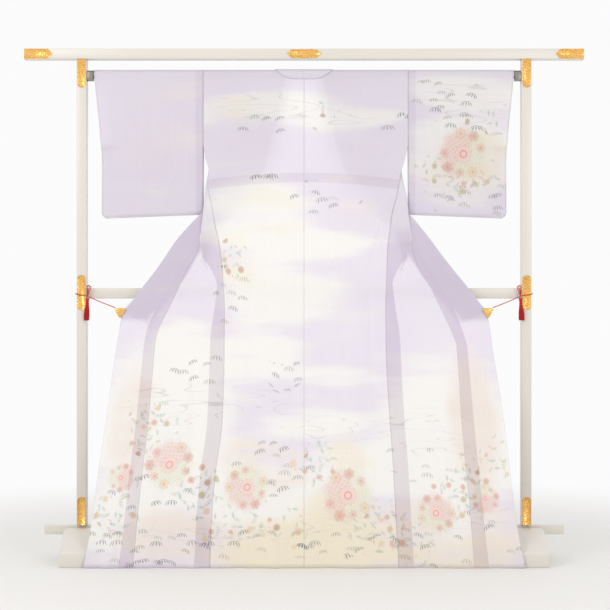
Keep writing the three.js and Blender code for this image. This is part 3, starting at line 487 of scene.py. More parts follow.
GARDENS = [  # across, up, half width, half height, strength: where blossoms and leaves grow
    (-0.22, 0.15, 0.10, 0.07, 0.9), (0.04, 0.33, 0.07, 0.06, 0.9), (0.24, 0.13, 0.09, 0.07, 1.0),
    (-0.05, 0.12, 0.08, 0.05, 0.8), (-0.36, 0.24, 0.07, 0.07, 0.9), (-0.52, 0.43, 0.09, 0.08, 1.0),
    (-0.62, 0.17, 0.08, 0.07, 0.9), (0.36, 0.07, 0.07, 0.05, 0.8), (0.52, 0.24, 0.08, 0.08, 1.0),
    (0.64, 0.32, 0.06, 0.08, 0.9), (-0.25, 0.97, 0.05, 0.06, 0.7), (0.07, 1.47, 0.05, 0.03, 0.6),
    (2.15, 0.13, 0.14, 0.06, 1.0), (2.26, 0.30, 0.06, 0.05, 0.6),
    (-0.42, 1.34, 0.09, 0.08, 0.9), (-2.19, 4.14, 0.15, 0.08, 1.0), (0.46, 1.33, 0.05, 0.04, 0.6),
]
GRASSES = [  # across, up, half width, half height, strength: where bamboo grass is scattered
    (-0.45, 0.06, 0.26, 0.07, 1.0), (0.05, 0.07, 0.30, 0.05, 0.9), (0.52, 0.08, 0.24, 0.08, 0.9),
    (-0.10, 0.31, 0.13, 0.11, 1.0), (-0.50, 0.24, 0.14, 0.08, 0.7), (-0.28, 0.86, 0.08, 0.08, 0.9),
    (-0.06, 0.60, 0.08, 0.05, 1.0), (-0.12, 1.41, 0.10, 0.045, 0.9), (0.08, 1.40, 0.05, 0.04, 0.9),
    (0.08, 1.17, 0.11, 0.05, 0.8), (-0.12, 1.24, 0.06, 0.03, 0.9), (0.34, 0.33, 0.12, 0.06, 0.7),
    (2.12, 0.33, 0.14, 0.10, 0.9), (2.24, 0.06, 0.14, 0.07, 1.0), (-2.14, 4.08, 0.16, 0.10, 0.8),
    (-0.40, 0.62, 0.10, 0.05, 0.5), (0.26, 1.42, 0.05, 0.03, 0.7),
]
LINES = [  # across, up, half width, half height, strength: where fine flowing lines are drawn
    (-0.10, 1.47, 0.18, 0.05, 0.9), (0.12, 1.42, 0.12, 0.04, 0.8), (-0.46, 0.50, 0.18, 0.08, 1.0),
    (0.42, 0.42, 0.18, 0.08, 0.9), (0.10, 0.42, 0.14, 0.06, 0.8), (-0.14, 0.50, 0.12, 0.06, 0.8),
    (2.18, 0.36, 0.16, 0.08, 0.9), (-0.30, 0.10, 0.30, 0.05, 0.7), (0.20, 0.12, 0.30, 0.05, 0.7),
    (-2.18, 4.30, 0.14, 0.08, 0.8), (-0.42, 1.46, 0.10, 0.05, 0.7), (0.54, 0.16, 0.16, 0.05, 0.8),
]
ROUNDELS = [  # across, up, radius and turn of the flower roundels
    (-0.19, 0.25, 0.08, 20), (0.145, 0.225, 0.092, 75), (-0.455, 0.32, 0.086, 140), (-0.61, 0.28, 0.05, 250),
    (0.43, 0.17, 0.068, 200), (0.595, 0.215, 0.052, 310), (2.19, 0.20, 0.092, 100), (-2.19, 4.20, 0.088, 30),
    (-0.43, 1.375, 0.05, 170),
]


BANK_REACH, BANK_SOFTNESS = 1.45, 0.9  # in half widths: where a bank ends, and how wide its soft edge is
ROUNDEL_LIFT, ROUNDEL_REACH, ROUNDEL_EDGE = 9, 1.35, 0.2  # in radii


def bank(rows, across, up):
    """How strongly a place lies in any bank, from 0 to 1, with soft edges."""
    clear = 1.0
    for place_x, place_y, half_x, half_y, strength in rows:
        reach = math.hypot((across - place_x) / half_x, (up - place_y) / half_y)
        clear *= 1 - strength * ease((BANK_REACH - reach) / BANK_SOFTNESS)
    return 1 - clear


def nearest_roundel(across, up):
    """The place seen from the nearest roundel's centre, in radii. Beyond the rim it is lifted far out of reach."""
    def reach(row):
        return math.hypot(across - row[0], up - row[1]) / row[2]
    place_x, place_y, radius, turn = min(ROUNDELS, key=reach)
    seen = Vector((across - place_x, up - place_y, 0)) / radius
    seen.z = ROUNDEL_LIFT * ease((seen.length - ROUNDEL_REACH) / ROUNDEL_EDGE)
    return Matrix.Rotation(math.radians(turn), 3, "Z") @ seen


ATTRIBUTES = {"mist": MIST, "cream": CREAM, "blush": BLUSH, "garden": GARDENS, "grass": GRASSES, "lines": LINES}
print("banks:", {name: len(rows) for name, rows in ATTRIBUTES.items()}, "roundels:", len(ROUNDELS))

# %% [markdown]
# ## From a flat grid to a hanging sheet
# Cloth starts flat, so each panel starts as a flat grid too. Every corner of the grid knows its two shares of the
# panel, and a rule moves it to where it hangs. Its place on the flat cut goes into the UV map, in metres,
# so the dyed pattern is as true to size as on the cutting table.

# %% Cloth sheets
CLOTH_THICKNESS = 0.0005


def cloth_sheet(name, columns, rows, place, material, replaced, round_cloth=False, thickness=CLOTH_THICKNESS):
    """place(s, t) gives a point in millimetres, its place (across, up) on the cut in metres, and how much painted
    shade it gets from another layer close behind (0 to 1)."""
    bm = bmesh.new()
    bmesh.ops.create_grid(bm, x_segments=columns, y_segments=rows, size=1)
    cut_place = {}
    shade_behind_layer = bm.verts.layers.float.new("shade_behind")
    for vert in bm.verts:
        point, cut, shade_behind = place((vert.co.x + 1) / 2, (1 - vert.co.y) / 2)
        vert[shade_behind_layer] = shade_behind
        vert.co = Vector((point.x, point.y + STAND_Y, point.z)) * MM
        cut_place[vert.index] = cut
    uv_layer = bm.loops.layers.uv.new("cut")
    layers = {key: bm.verts.layers.float.new(key) for key in ATTRIBUTES}
    roundel_layer = bm.verts.layers.float_vector.new("roundel")
    for face in bm.faces:
        for loop in face.loops:
            loop[uv_layer].uv = cut_place[loop.vert.index]
    for vert in bm.verts:
        across, up = cut_place[vert.index]
        for key, rows_of in ATTRIBUTES.items():
            vert[layers[key]] = bank(rows_of, across, up)
        vert[roundel_layer] = nearest_roundel(across, up)
    if round_cloth:
        bmesh.ops.remove_doubles(bm, verts=bm.verts, dist=0.00002)
    bmesh.ops.recalc_face_normals(bm, faces=bm.faces)
    piece = finish_piece(bm, name, material, replaced, sharp_angle=75)
    shell = piece.modifiers.new("thickness", "SOLIDIFY")
    shell.thickness = thickness
    shell.offset = 0
    return piece


def spread(share, marks, values):
    """Moves a share so that the grid's lines fall where they are needed."""
    for k in range(len(marks) - 1):
        if share <= marks[k + 1]:
            return mix(values[k], values[k + 1], (share - marks[k]) / (marks[k + 1] - marks[k]))
    return values[-1]


print("cloth thickness in mm:", CLOTH_THICKNESS / MM)

# %% [markdown]
# ## The dyed silk
# The ground is pale lavender, and the motifs are dyed over it. Small motifs repeat with a Voronoi texture: it cuts
# the cloth into cells, and tells each place how far it lies from its own cell's centre. Turned into an angle and a
# distance, that draws petals or leaves. The cloth is sheer gauze, so some light passes straight through it
# (Transparent), some glows through it (Translucent), and the rest is reflected (Principled with sheen).

# %% Motif groups
HARD_EDGE = 0.01
CELL_JITTER = 0.75  # how far a motif may stray from an even grid
ARCH_TOP, ARCH_FALL = 0.35, 0.32  # the arched stem of a spray, in sizes of the spray
LEAF_FAN, LEAF_STEP, LEAVES_EACH_SIDE = 0.85, 0.4, 2.5
LEAF_LENGTH, LEAF_SHORTENING, LEAF_HALF_WIDTH = 0.95, 0.09, 0.3
LEAF_SLIMNESS, LEAF_POINT = 0.42, 1.6  # single leaves


def cell_places(uv, per_metre, turn, offset):
    """The place seen from its cell's centre, turned at random, and the cell's three random numbers."""
    shifted = vectors("ADD", uv, offset)
    cells = node("TexVoronoi", {"Vector": shifted, "Scale": per_metre, "Randomness": CELL_JITTER},
                 voronoi_dimensions="2D")
    local = vectors("SUBTRACT", shifted, cells.outputs["Position"])
    chance = node("SeparateColor", {"Color": cells.outputs["Color"]}).outputs
    swing = times_plus(chance["Red"], 2 * turn, -turn)
    return node("VectorRotate", {"Vector": local, "Angle": swing}, rotation_type="Z_AXIS"), chance


def polar(place):
    """Distance and angle of a place about the origin, and its two coordinates."""
    x, y = axes(place)
    return vectors("LENGTH", place), maths("ARCTAN2", y, x), x, y


def nearest_step(value, spacing):
    """The number of the nearest step, and how far past it a value lies, as a share of the spacing."""
    steps = over(value, spacing)
    number = rounded(steps)
    return number, minus(steps, number)


def petal_edge(angle, petals, notch, size):
    """Where a flower ends at an angle, and how far that angle lies from the middle of a petal (0 to half)."""
    ray = positive(nearest_step(angle, 2 * math.pi / petals)[1])
    return times_plus(power(ray, 2.0), -notch, size), ray


def spray(uv, per_metre, size, turn, offset, density):
    """Sprays of short leaves that hang in a row from an arched stem, as a mask."""
    local, chance = cell_places(uv, per_metre, turn, offset)
    scale = over(1.0, times_plus(chance["Green"], size * 0.5, size * 0.75))
    across, up = axes(node("VectorMath", {0: local, "Scale": scale}, operation="SCALE"))
    down = minus(times_plus(times(across, across), -ARCH_FALL, ARCH_TOP), up)
    fanned = over(across, times_plus(down, LEAF_FAN, 1.0))
    number, aside = nearest_step(fanned, LEAF_STEP)
    reach = times_plus(times(number, number), -LEAF_SHORTENING, LEAF_LENGTH)
    share = over(down, reach, clamp=True)
    profile = sine(times(power(share, 0.8), math.pi))
    leaf = under(positive(aside), times(profile, LEAF_HALF_WIDTH), 0.14)
    stem = close_to(down, 0.02, 0.06, 0.04)
    within = under(positive(number), LEAVES_EACH_SIDE, HARD_EDGE)
    drawn = times(larger(leaf, stem), within)
    return times(drawn, under(chance["Blue"], density, HARD_EDGE)), chance


def blossoms(uv, per_metre, radius, petals, offset, density):
    """Round many-petalled flowers: their mask, their share from the middle out, their petal lines and chances."""
    local, chance = cell_places(uv, per_metre, math.pi, offset)
    distance, angle, _, _ = polar(local)
    share = over(distance, times_plus(chance["Green"], radius * 0.4, radius * 0.7))
    edge, ray = petal_edge(angle, petals, 0.6, 1.0)
    line = times(soft_step(ray, 0.3, 0.48), soft_step(share, 0.25, 0.6))
    flower = times(under(share, edge, 0.3), under(chance["Blue"], density, HARD_EDGE))
    return flower, share, line, chance


def leaves(uv, per_metre, length, offset, density):
    """Single oval leaves with a vein."""
    local, chance = cell_places(uv, per_metre, math.pi, offset)
    x, y = axes(local)
    body = minus(1.0, power(positive(over(x, length)), LEAF_POINT), clamp=True)
    side = over(positive(y), length * LEAF_SLIMNESS)
    leaf = times(under(side, body, 0.2), under(chance["Green"], density, HARD_EDGE))
    return leaf, under(side, 0.12, 0.06), chance


def linked_circles(place, per_radius, width):
    """The old pattern of linked circles: thin rings that overlap by a quarter."""
    rings = []
    for shift in ((0.0, 0.0, 0.0), (0.5, 0.5, 0.0)):
        cell = vectors("FRACTION", vectors("MULTIPLY_ADD", place, (per_radius,) * 3, shift))
        flat = vectors("MULTIPLY", vectors("SUBTRACT", cell, (0.5, 0.5, 0.0)), (1.0, 1.0, 0.0))
        rings.append(close_to(vectors("LENGTH", flat), 0.49, width, width * 0.5))
    return larger(*rings)


WREATH_FLOWERS, WREATH_SHOWN = 9, 0.74  # about a quarter of the wreath's places stay empty
WREATH_ORBIT, WREATH_SPREAD = 0.66, 0.16
FIELD_BORDER, WAVE_PITCH = 3.4, 24.0


def flower_roundel(place):
    """Small flowers in a broken wreath round one large flower, over two patterned fields."""
    distance, angle, x, y = polar(place)
    disc = under(distance, times_plus(noise(place, 2.6, 2.0), 0.5, 0.75), 0.3)
    spacing = 2 * math.pi / WREATH_FLOWERS
    number, past = nearest_step(angle, spacing)
    chance = fraction(times(number, 0.381))
    swing = times(past, spacing)
    wreath_x = minus(times(distance, maths("COSINE", swing)), times_plus(chance, WREATH_SPREAD, WREATH_ORBIT))
    wreath_y = times(distance, sine(swing))
    near, near_angle, _, _ = polar(node("CombineXYZ", {0: wreath_x, 1: wreath_y}))
    flower_edge, _ = petal_edge(near_angle, 6, 0.22, times_plus(chance, 0.08, 0.15))
    shown = under(chance, WREATH_SHOWN, 0.02)
    heart_edge, _ = petal_edge(angle, 12, 0.34, 0.33)
    heart = under(distance, heart_edge, 0.06)
    upper = soft_step(times_plus(sine(times(x, FIELD_BORDER)), 0.22, y), -0.03, 0.03)
    outside = minus(disc, heart, clamp=True)
    ripple = times_plus(sine(times(x, 13.0)), 0.03, y)
    stripes = under(positive(sine(times(ripple, WAVE_PITCH))), 0.3, 0.3)
    return {
        "disc": disc, "upper": upper, "chance": chance, "heart": heart,
        "circles": times(linked_circles(place, 5.0, 0.06), times(outside, minus(1.0, upper))),
        "waves": times(stripes, times(outside, upper)),
        "wreath": times(under(near, flower_edge, 0.05), shown),
        "wreath_line": times(close_to(near, flower_edge, 0.018, 0.02), shown),
        "wreath_eye": times(under(near, 0.055, 0.03), shown),
        "heart_line": close_to(distance, heart_edge, 0.02, 0.025),
        "eye_ring": close_to(distance, 0.12, 0.035, 0.03),
    }


def flowing_lines(uv, size, width):
    """Thin lines that flow like grass in the wind: the contours of a stretched noise."""
    hills = noise(stretched(uv, size, size * 6.0, 1.0), 1.0, 1.5)
    return close_to(fraction(times(hills, 7.0)), 0.5, width, width * 0.6)


def band(value, low, high, softness=0.0012):
    """1 where a value lies between two others."""
    return times(over(minus(value, low), softness, clamp=True), over(minus(high, value), softness, clamp=True))


def pick_colour(chance, *shades):
    """One of several colours by a random number, in equal shares."""
    ramp = node("ValToRGB", {"Fac": chance})
    ramp.color_ramp.interpolation = "CONSTANT"
    ramp.color_ramp.elements.remove(ramp.color_ramp.elements[1])
    ramp.color_ramp.elements[0].color = paint(*shades[0])
    for k, shade in enumerate(shades[1:], 1):
        ramp.color_ramp.elements.new(k / len(shades)).color = paint(*shade)
    return ramp.outputs["Color"]


print("kinds of motif: roundels, blossoms, leaves, sprays and flowing lines")

# %% The silk material
LAVENDER = paint(236, 231, 238)
DEEP_LAVENDER = paint(231, 224, 234)
UNDYED = paint(243, 241, 238)
WARM_CREAM = paint(240, 232, 213)
PEACH = paint(238, 229, 222)
SHEER, GLOW_SHARE = 0.16, 0.22  # shares of the light that pass straight through, and that glow through the rest
WEAVE_PITCH = 0.0032  # gauze has a row of fine gaps about every three millimetres
BACK_EDGE, FRONT_EDGE = 0.30, 0.54  # the side seam and the okumi seam, across the flat cut
SEAM_BAND, OKUMI_BAND = 0.05, 0.044  # the seam allowances lie behind the gauze, and their bands are painted shade
TUCK_AT, TUCK_ARCH, TUCK_HALF = 1.236, 0.022, 0.017  # the tuck across the back sags a little towards the sides
HEM_BAND = 0.014


def dyed_motifs(uv, spots, colour):
    """Roundels, blossoms, leaves, bamboo grass and flowing lines over the ground colour."""
    def lay(mask, strength, shade):
        nonlocal colour
        colour = colour_mix(times(mask, strength), colour, paint(*shade) if isinstance(shade, tuple) else shade)

    lay(times(flowing_lines(uv, 3.6, 0.06), soft_step(spots["lines"], 0.3, 0.8)), 0.24, (178, 170, 164))

    parts = flower_roundel(node("Attribute", attribute_name="roundel").outputs["Vector"])
    parts_shades = (
        ("disc", 0.5, colour_mix(parts["upper"], paint(240, 218, 208), paint(232, 230, 208))),
        ("circles", 0.26, (210, 150, 146)), ("waves", 0.26, (168, 176, 150)),
        ("wreath", 0.52, pick_colour(
            parts["chance"], (236, 186, 180), (238, 212, 180), (222, 170, 160), (208, 212, 184))),
        ("wreath_line", 0.34, (176, 116, 108)), ("wreath_eye", 0.6, (222, 176, 110)),
        ("heart", 0.7, (244, 214, 208)), ("heart_line", 0.4, (196, 118, 118)), ("eye_ring", 0.55, (226, 104, 110)),
    )
    for key, strength, shade in parts_shades:
        lay(parts[key], strength, shade)

    clear = minus(1.0, parts["disc"])
    garden = times(spots["garden"], clear)
    leaf, vein, chance = leaves(uv, 34.0, 0.0115, (3.1, 7.7, 0), times(garden, 0.7))
    green = pick_colour(chance["Red"], (196, 212, 192), (212, 208, 172), (184, 204, 190), (214, 216, 198))
    lay(leaf, 0.5, colour_mix(times(vein, 0.4), green, paint(160, 168, 146)))
    sprig, chance = spray(uv, 26.0, 0.012, math.pi, (8.3, 1.9, 0), times(garden, 0.8))
    lay(sprig, 0.6, pick_colour(chance["Red"], (168, 196, 176), (184, 190, 164), (196, 168, 150), (176, 186, 180)))
    flower, share, petal_line, chance = blossoms(uv, 21.0, 0.0135, 12, (0.4, 0.9, 0), times(garden, 0.7))
    petals = pick_colour(chance["Red"], (228, 196, 168), (228, 208, 172), (214, 206, 164), (234, 198, 186),
                         (212, 184, 156), (238, 222, 196))
    core = pick_colour(chance["Red"], (216, 148, 112), (214, 180, 128), (184, 178, 128), (220, 136, 120),
                       (188, 150, 118), (228, 196, 142))
    petals = colour_mix(times(petal_line, 0.4), petals, paint(160, 124, 100))
    lay(flower, 0.72, colour_mix(times(under(share, 0.55, 0.5), 0.6), petals, core))

    free = minus(clear, flower, clamp=True)
    for per_metre, offset, share_of_cells in ((24.0, (1.7, 0.2, 0), 0.46), (19.0, (5.3, 2.9, 0), 0.36)):
        drawn, chance = spray(uv, per_metre, 0.015, 0.4, offset, times(times(spots["grass"], free), share_of_cells))
        lay(drawn, 0.68, pick_colour(chance["Red"], (104, 108, 110), (150, 152, 148), (124, 130, 128),
                                     (184, 178, 168), (112, 118, 124)))
    return colour


def ground_colour(uv, spots):
    """Cloudy lavender, with mist, peach and cream torn into wisps at their edges."""
    wisp = times_plus(noise(stretched(uv, 2.0, 11.0, 1.0), 1.6, 3.0), 1.6, -0.8)
    colour = colour_mix(noise(uv, 5.0, 2.0), LAVENDER, DEEP_LAVENDER)
    banks = (("mist", 1.0, 0.0, 0.85, UNDYED), ("blush", 0.6, 0.05, 1.0, PEACH), ("cream", 0.6, 0.05, 1.0, WARM_CREAM))
    for key, tear, low, high, shade in banks:
        colour = colour_mix(soft_step(times_plus(wisp, tear, spots[key]), low, high), colour, shade)
    return colour


def layered_cloth_shade(uv, shade_behind):
    """How strongly each place is darkened as painted shade by a second layer behind it: seam allowances, the tuck and
    the hem.
    """
    x, up = axes(uv)
    across = positive(x)
    side_band = times(band(across, BACK_EDGE, BACK_EDGE + SEAM_BAND), under(up, SLIT_Z * MM - 0.12, 0.08))
    okumi_band = band(across, FRONT_EDGE, FRONT_EDGE + OKUMI_BAND)
    arch = times_plus(power(over(across, BACK_EDGE), 2.0), -TUCK_ARCH, TUCK_AT)
    tuck = times(band(minus(up, arch), -TUCK_HALF, TUCK_HALF, 0.003), under(across, BACK_EDGE + 0.0005, 0.0005))
    hem = times(band(up, -1.0, HEM_BAND, 0.001), under(across, 1.0, HARD_EDGE))
    centre_line = band(across, -1.0, 0.0016, 0.0006)
    sleeve_band = band(across, SLEEVE_AT - 0.1, SLEEVE_AT + 0.028, 0.006)
    layers = larger(side_band, okumi_band)
    for mask, strength in ((larger(tuck, hem), 0.5), (centre_line, 0.6), (sleeve_band, 0.4)):
        layers = larger(layers, times(mask, strength))
    return maths("ADD", layers, shade_behind, clamp=True)


def silk_material(name, patterned):
    material = new_material(name)
    uv = node("UVMap", uv_map="cut").outputs["UV"]
    spots = {key: node("Attribute", attribute_name=key).outputs["Fac"] for key in (*ATTRIBUTES, "shade_behind")}
    colour = ground_colour(uv, spots)
    if patterned:
        colour = dyed_motifs(uv, spots, colour)
    # Painted shade: the colour is darkened where seams, the tuck, the hem, the collar, the fronts and the rod lie
    # behind the gauze.
    shade_tint = colour_mix(0.6, colour, DEEP_LAVENDER)
    shaded_colour = colour_mix(1.0, colour, shade_tint, "MULTIPLY")
    colour = colour_mix(times(layered_cloth_shade(uv, spots["shade_behind"]), 0.8), colour, shaded_colour)

    rows = node("TexWave", {"Vector": uv, "Scale": math.pi / (10 * WEAVE_PITCH)}, wave_type="BANDS",
                bands_direction="Y").outputs["Fac"]
    height = times_plus(noise(uv, 900.0, 1.0), 0.5, rows)
    surface = node("BsdfPrincipled", {
        "Base Color": colour, "Roughness": 0.62, "Sheen Weight": 0.2, "Sheen Roughness": 0.45,
        "Specular IOR Level": 0.25, "Normal": bump(height, 0.12, 0.0004)})
    glow = node("BsdfTranslucent", {"Color": colour})
    body = node("MixShader", {0: GLOW_SHARE, 1: surface, 2: glow})
    window = node("BsdfTransparent", {"Color": (1, 1, 1, 1)})
    return finish_material(material, node("MixShader", {0: SHEER, 1: body, 2: window}))


silk = silk_material("silk_dyed", patterned=True)
silk_plain = silk_material("silk_collar", patterned=False)
print("silk materials:", silk.name, silk_plain.name)

# %% [markdown]
# ## Back panels
# Two straight strips, sewn to each other down the spine and cut away a little for the collar at the nape.
# They pass over the rod from the shoulder line, so the first rows of the grid bend over it.

# %% Back panels
NECK_BLEND = 70  # the neckline bends the rows down to here
NECK_COLUMNS, SEAM_COLUMN, SEAM_SHARE = 0.32, 0.03, 0.011  # extra grid lines at the neck and beside the seams
FRONT_SHADE = 0.3  # painted shade where the front lies behind the back near the side seam
ROD_SHADE = 0.4  # painted shade where the rod lies behind the cloth


def back_place(side):
    edge_top = level("side", side, ROD_Z)
    total = SHOULDER_ARC + ROD_Z - HEM_Z
    neck_share = NECK_HALF_WIDTH / edge_top

    def place(s, t):
        share = spread(s, [0, SEAM_COLUMN, NECK_COLUMNS, 1 - SEAM_COLUMN, 1],
                       [0, SEAM_SHARE, neck_share, 1 - SEAM_SHARE, 1])
        down = spread(t, [0, 0.06, 0.12, 1], [0, SHOULDER_ARC, 90, total])
        x_top = share * edge_top
        neck = neckline_drop(x_top) + SEAM_GAP if x_top < NECK_HALF_WIDTH + 1 else 0
        local = neck + down * (1 - neck / NECK_BLEND) if down < NECK_BLEND else down
        z = ROD_Z if local <= SHOULDER_ARC else ROD_Z - (local - SHOULDER_ARC)
        x = mix(SEAM_GAP, level("side", side, round(z, 3)) - SEAM_GAP, share)
        cut = (side * share * CUT["back"] * MM, z * MM)
        # Painted shade where the front lies behind the back, and over the rod.
        beside = ease((z - 1180) / 60) * ease((x - level("edge", side, round(z, 3)) + 40) / 12)
        shade_behind = max(FRONT_SHADE * beside, ROD_SHADE * ease((z - ROD_Z + 17) / 6))
        if local <= SHOULDER_ARC:
            return draped_point(side * x, -max(local, SEAM_GAP)), cut, shade_behind
        across = share * CUT["back"]
        dip = SEAM_DIP * max(0, 1 - across / SEAM_DIP_WIDTH) + SEAM_DIP * max(0, 1 - (CUT["back"] - across) / 6)
        free = ease((ROD_Z - z) / 60)
        y = back_depth(side, share, z) + (crease_depth(side, across, z) + dip) * free
        return Vector((side * x, y, z)), cut, shade_behind

    return place


for name, side in SIDES.items():
    cloth_sheet(f"back_{name}", 52, 190, back_place(side), silk, [f"back_panel_{name}"])

# %% [markdown]
# ## Front panels and overlap strips
# Above the slit the fronts hang straight behind the rod. Below it each front is sewn to the back, makes a pleat
# behind it, and swings out to the side, with the overlap strip sewn to its far edge.

# %% Front panels and okumi
COLLAR_SHADE, SHOULDER_SHADE = 0.9, 0.3  # painted shade where the collar, and the second layer at the shoulder, lie behind


def collar_slope(side, z):
    """How far the front edge leans outwards at a level, and the width of the collar there."""
    slope = level("edge", side, z - 20) - level("edge", side, z + 20)
    wide = ease((COLLAR_WIDTHS["upper_z"] - z) / (COLLAR_WIDTHS["upper_z"] - COLLAR_WIDTHS["wing_z"]))
    return math.atan2(slope, 40), mix(COLLAR_WIDTHS["upper"], COLLAR_WIDTHS["wing"], wide)


def collar_shade_mask(side, x, z):
    """Painted shade, strongest where the collar lies close behind the spread front, with an edge a few millimetres
    soft.
    """
    z = round(z, 3)
    lean, width = collar_slope(side, z)
    from_edge = (level("edge", side, z) - x) * math.cos(lean)
    return COLLAR_SHADE * ease((width - from_edge) / 9) * ease((z - COLLAR_END_Z + 30) / 16)


def front_place(side):
    total = SHOULDER_ARC + ROD_Z - HEM_Z

    def place(s, t):
        share = spread(s, [0, 0.03, 0.97, 1], [0, 0.014, 0.986, 1])
        down = spread(t, [0, 0.05, 1], [0, SHOULDER_ARC, total])
        z = ROD_Z if down <= SHOULDER_ARC else ROD_Z - (down - SHOULDER_ARC)
        cut = (side * (CUT["back"] + share * CUT["front"]) * MM, z * MM)
        point = front_point(side, share, round(z, 3))
        if z > SLIT_Z:
            point.x -= SEAM_GAP * (1 - share)
        point.x = side * point.x
        if down <= SHOULDER_ARC:
            return draped_point(point.x, max(down, SEAM_GAP)), cut, SHOULDER_SHADE
        dip = SEAM_DIP * max(0, 1 - (1 - share) * CUT["front"] / SEAM_DIP_WIDTH)
        point.y += dip * ease((SLIT_Z - z) / 60)
        return point, cut, collar_shade_mask(side, abs(point.x), z) * ease((share - 0.35) / 0.3)

    return place


def okumi_place(side):
    def place(s, t):
        share = spread(s, [0, 0.05, 0.94, 1], [0, 0.028, 0.972, 1])
        z = mix(OKUMI_TOP_Z, HEM_Z, t)
        point = okumi_point(side, share, round(z, 3))
        point.x = side * point.x
        cut = (side * (CUT["back"] + CUT["front"] + share * CUT["okumi"]) * MM, z * MM)
        point.y += SEAM_DIP * max(0, 1 - share * CUT["okumi"] / SEAM_DIP_WIDTH)
        return point, cut, collar_shade_mask(side, abs(point.x), z)

    return place


for name, side in SIDES.items():
    cloth_sheet(
        f"front_{name}", 48, 180, front_place(side), silk, [f"front_panel_{name}"])
    cloth_sheet(
        f"okumi_{name}", 26, 130, okumi_place(side), silk, [f"okumi_{name}"])

# %% [markdown]
# ## Collar
# The collar is one long strip folded lengthwise. It runs round the nape, down both fronts and out along the free
# edge of each overlap strip to the clips. A second, shorter collar lies over its neck part to save it from wear.

# %% Collar
NECK_ROWS = [  # across to the neck seam, then across and down to the collar's free edge, in millimetres
    (0, 0, 16), (34, 15, 17), (60, 26, 21), (78, 33, 27), (88, 37, 36), (92, 39, 46),
]
SHOULDER_FREE_EDGE = (41, 51)  # where the free edge leaves the shoulder
NECK_LIFT, NECK_SHRINK, NECK_LAP = 0.9, 1.012, 2
SEAM_LAP, COLLAR_LAP, COLLAR_SWING = 2.1, 3.7, 5  # how far the strip lies behind the fronts, and swings free
LAP_BELOW_Z, SWING_FROM_Z, SWING_TO_Z = 1360, 1090, 1320
COLLAR_STRIP_SHADE, NECK_SHADE = 0.45, 0.2  # painted shade from the layers behind the collar
COLLAR_AT, COLLAR_CUT_WIDTH = 3.0, 0.11  # the collar's own place on the flat cut, in metres
FRONT_SHARES = [k / 24 for k in range(25)]
OKUMI_SHARES = [k / 8 for k in range(1, 9)]


@lru_cache(maxsize=None)
def spread_row(side, z):
    return [front_point(side, s, z) for s in FRONT_SHARES] + [okumi_point(side, s, z) for s in OKUMI_SHARES]


def depth_in_row(side, x, z):
    points = spread_row(side, z)
    for outer, inner in zip(points[:0:-1], points[-2::-1]):
        if inner.x <= x and outer.x - inner.x > 0.001:
            return mix(outer.y, inner.y, clamp01((outer.x - x) / (outer.x - inner.x)))
    return points[-1].y


def spread_depth(side, x, z):
    """Depth of the spread front at a place beside the body, between two levels 10 mm apart."""
    step = 10
    low = max(HEM_Z, math.floor(z / step) * step)
    return mix(depth_in_row(side, x, low), depth_in_row(side, x, low + step), clamp01((z - low) / step))


def collar_strip_point(side, share, z, lift):
    seam = level("edge", side, z) - 0.3
    lean, width = collar_slope(side, z)
    lean *= ease((ROD_Z - z) / 120)
    turned = ease((LAP_BELOW_Z - z) / 60)
    x = seam - share * width * math.cos(lean)
    height = z - share * width * math.sin(lean)
    swing = ease((z - SWING_FROM_Z) / 50) * ease((SWING_TO_Z - z) / 50)
    lap = (mix(SEAM_LAP, COLLAR_LAP, clamp01(share * 4)) + COLLAR_SWING * swing) * turned
    return Vector((side * x, spread_depth(side, x, height) + lap + lift, height))


def collar_place(lift, lowest):
    """Along the strip, t runs from one end round the neck to the other; s runs from the seam to the free edge."""
    neck_length, beside_length = 110, SHOULDER_ARC
    run_length = ROD_Z - lowest
    half = neck_length + beside_length + run_length

    def place(s, t):
        along = (t - 0.5) * 2 * half
        side = -1 if along < 0 else 1
        length = abs(along)
        cut = (side * (COLLAR_AT + s * COLLAR_CUT_WIDTH), along * MM)
        if length <= neck_length:
            spot = length / neck_length * (len(NECK_ROWS) - 1)
            k = min(len(NECK_ROWS) - 2, int(spot))
            seam, free_x, free_down = (mix(a, b, spot - k) for a, b in zip(NECK_ROWS[k], NECK_ROWS[k + 1]))
            seam_x, seam_down = seam * NECK_SHRINK, -NECK_LAP - neckline_drop(seam)
        elif length <= neck_length + beside_length:
            f = (length - neck_length) / beside_length
            seam_x, seam_down = NECK_HALF_WIDTH * NECK_SHRINK, f * SHOULDER_ARC
            free_x, free_down = (mix(a, b, f) for a, b in zip(NECK_ROWS[-1][1:], SHOULDER_FREE_EDGE))
        else:
            z = ROD_Z - (length - neck_length - beside_length)
            z = round(max(z, lowest), 3)
            strip = collar_strip_point(side, s, z, lift)
            near = 1 - ease((ROD_Z - z) / 38)
            if near > 0:
                last_x, last_down = SHOULDER_FREE_EDGE
                down = mix(SHOULDER_ARC, last_down, s) + (ROD_Z - z)
                held = draped_point(side * mix(NECK_HALF_WIDTH * NECK_SHRINK, last_x, s), down, lift + NECK_LIFT)
                strip = strip.lerp(held, near)
            return strip, cut, COLLAR_STRIP_SHADE
        down = mix(seam_down, free_down, s)
        return draped_point(side * mix(seam_x, free_x, s), down, lift + NECK_LIFT), cut, NECK_SHADE

    return place


COLLAR_THICKNESS = 0.0012  # the strip is folded, so it is two layers thick
OVER_COLLAR_THICKNESS, OVER_COLLAR_LIFT = 0.0009, 1.15
cloth_sheet("collar_strip", 16, 300, collar_place(0, COLLAR_END_Z), silk_plain, ["collar"],
                              thickness=COLLAR_THICKNESS)
cloth_sheet("over_collar_strip", 16, 180, collar_place(OVER_COLLAR_LIFT, OVER_COLLAR_END_Z),
                                   silk_plain, ["over_collar"], thickness=OVER_COLLAR_THICKNESS)

# %% [markdown]
# ## Sleeves
# A sleeve is a strip folded over the rod and sewn along its bottom, so it is a flat tube hung from its fold.
# The grid's rows run round the tube, and its last row is sewn to its first by merging their corners.

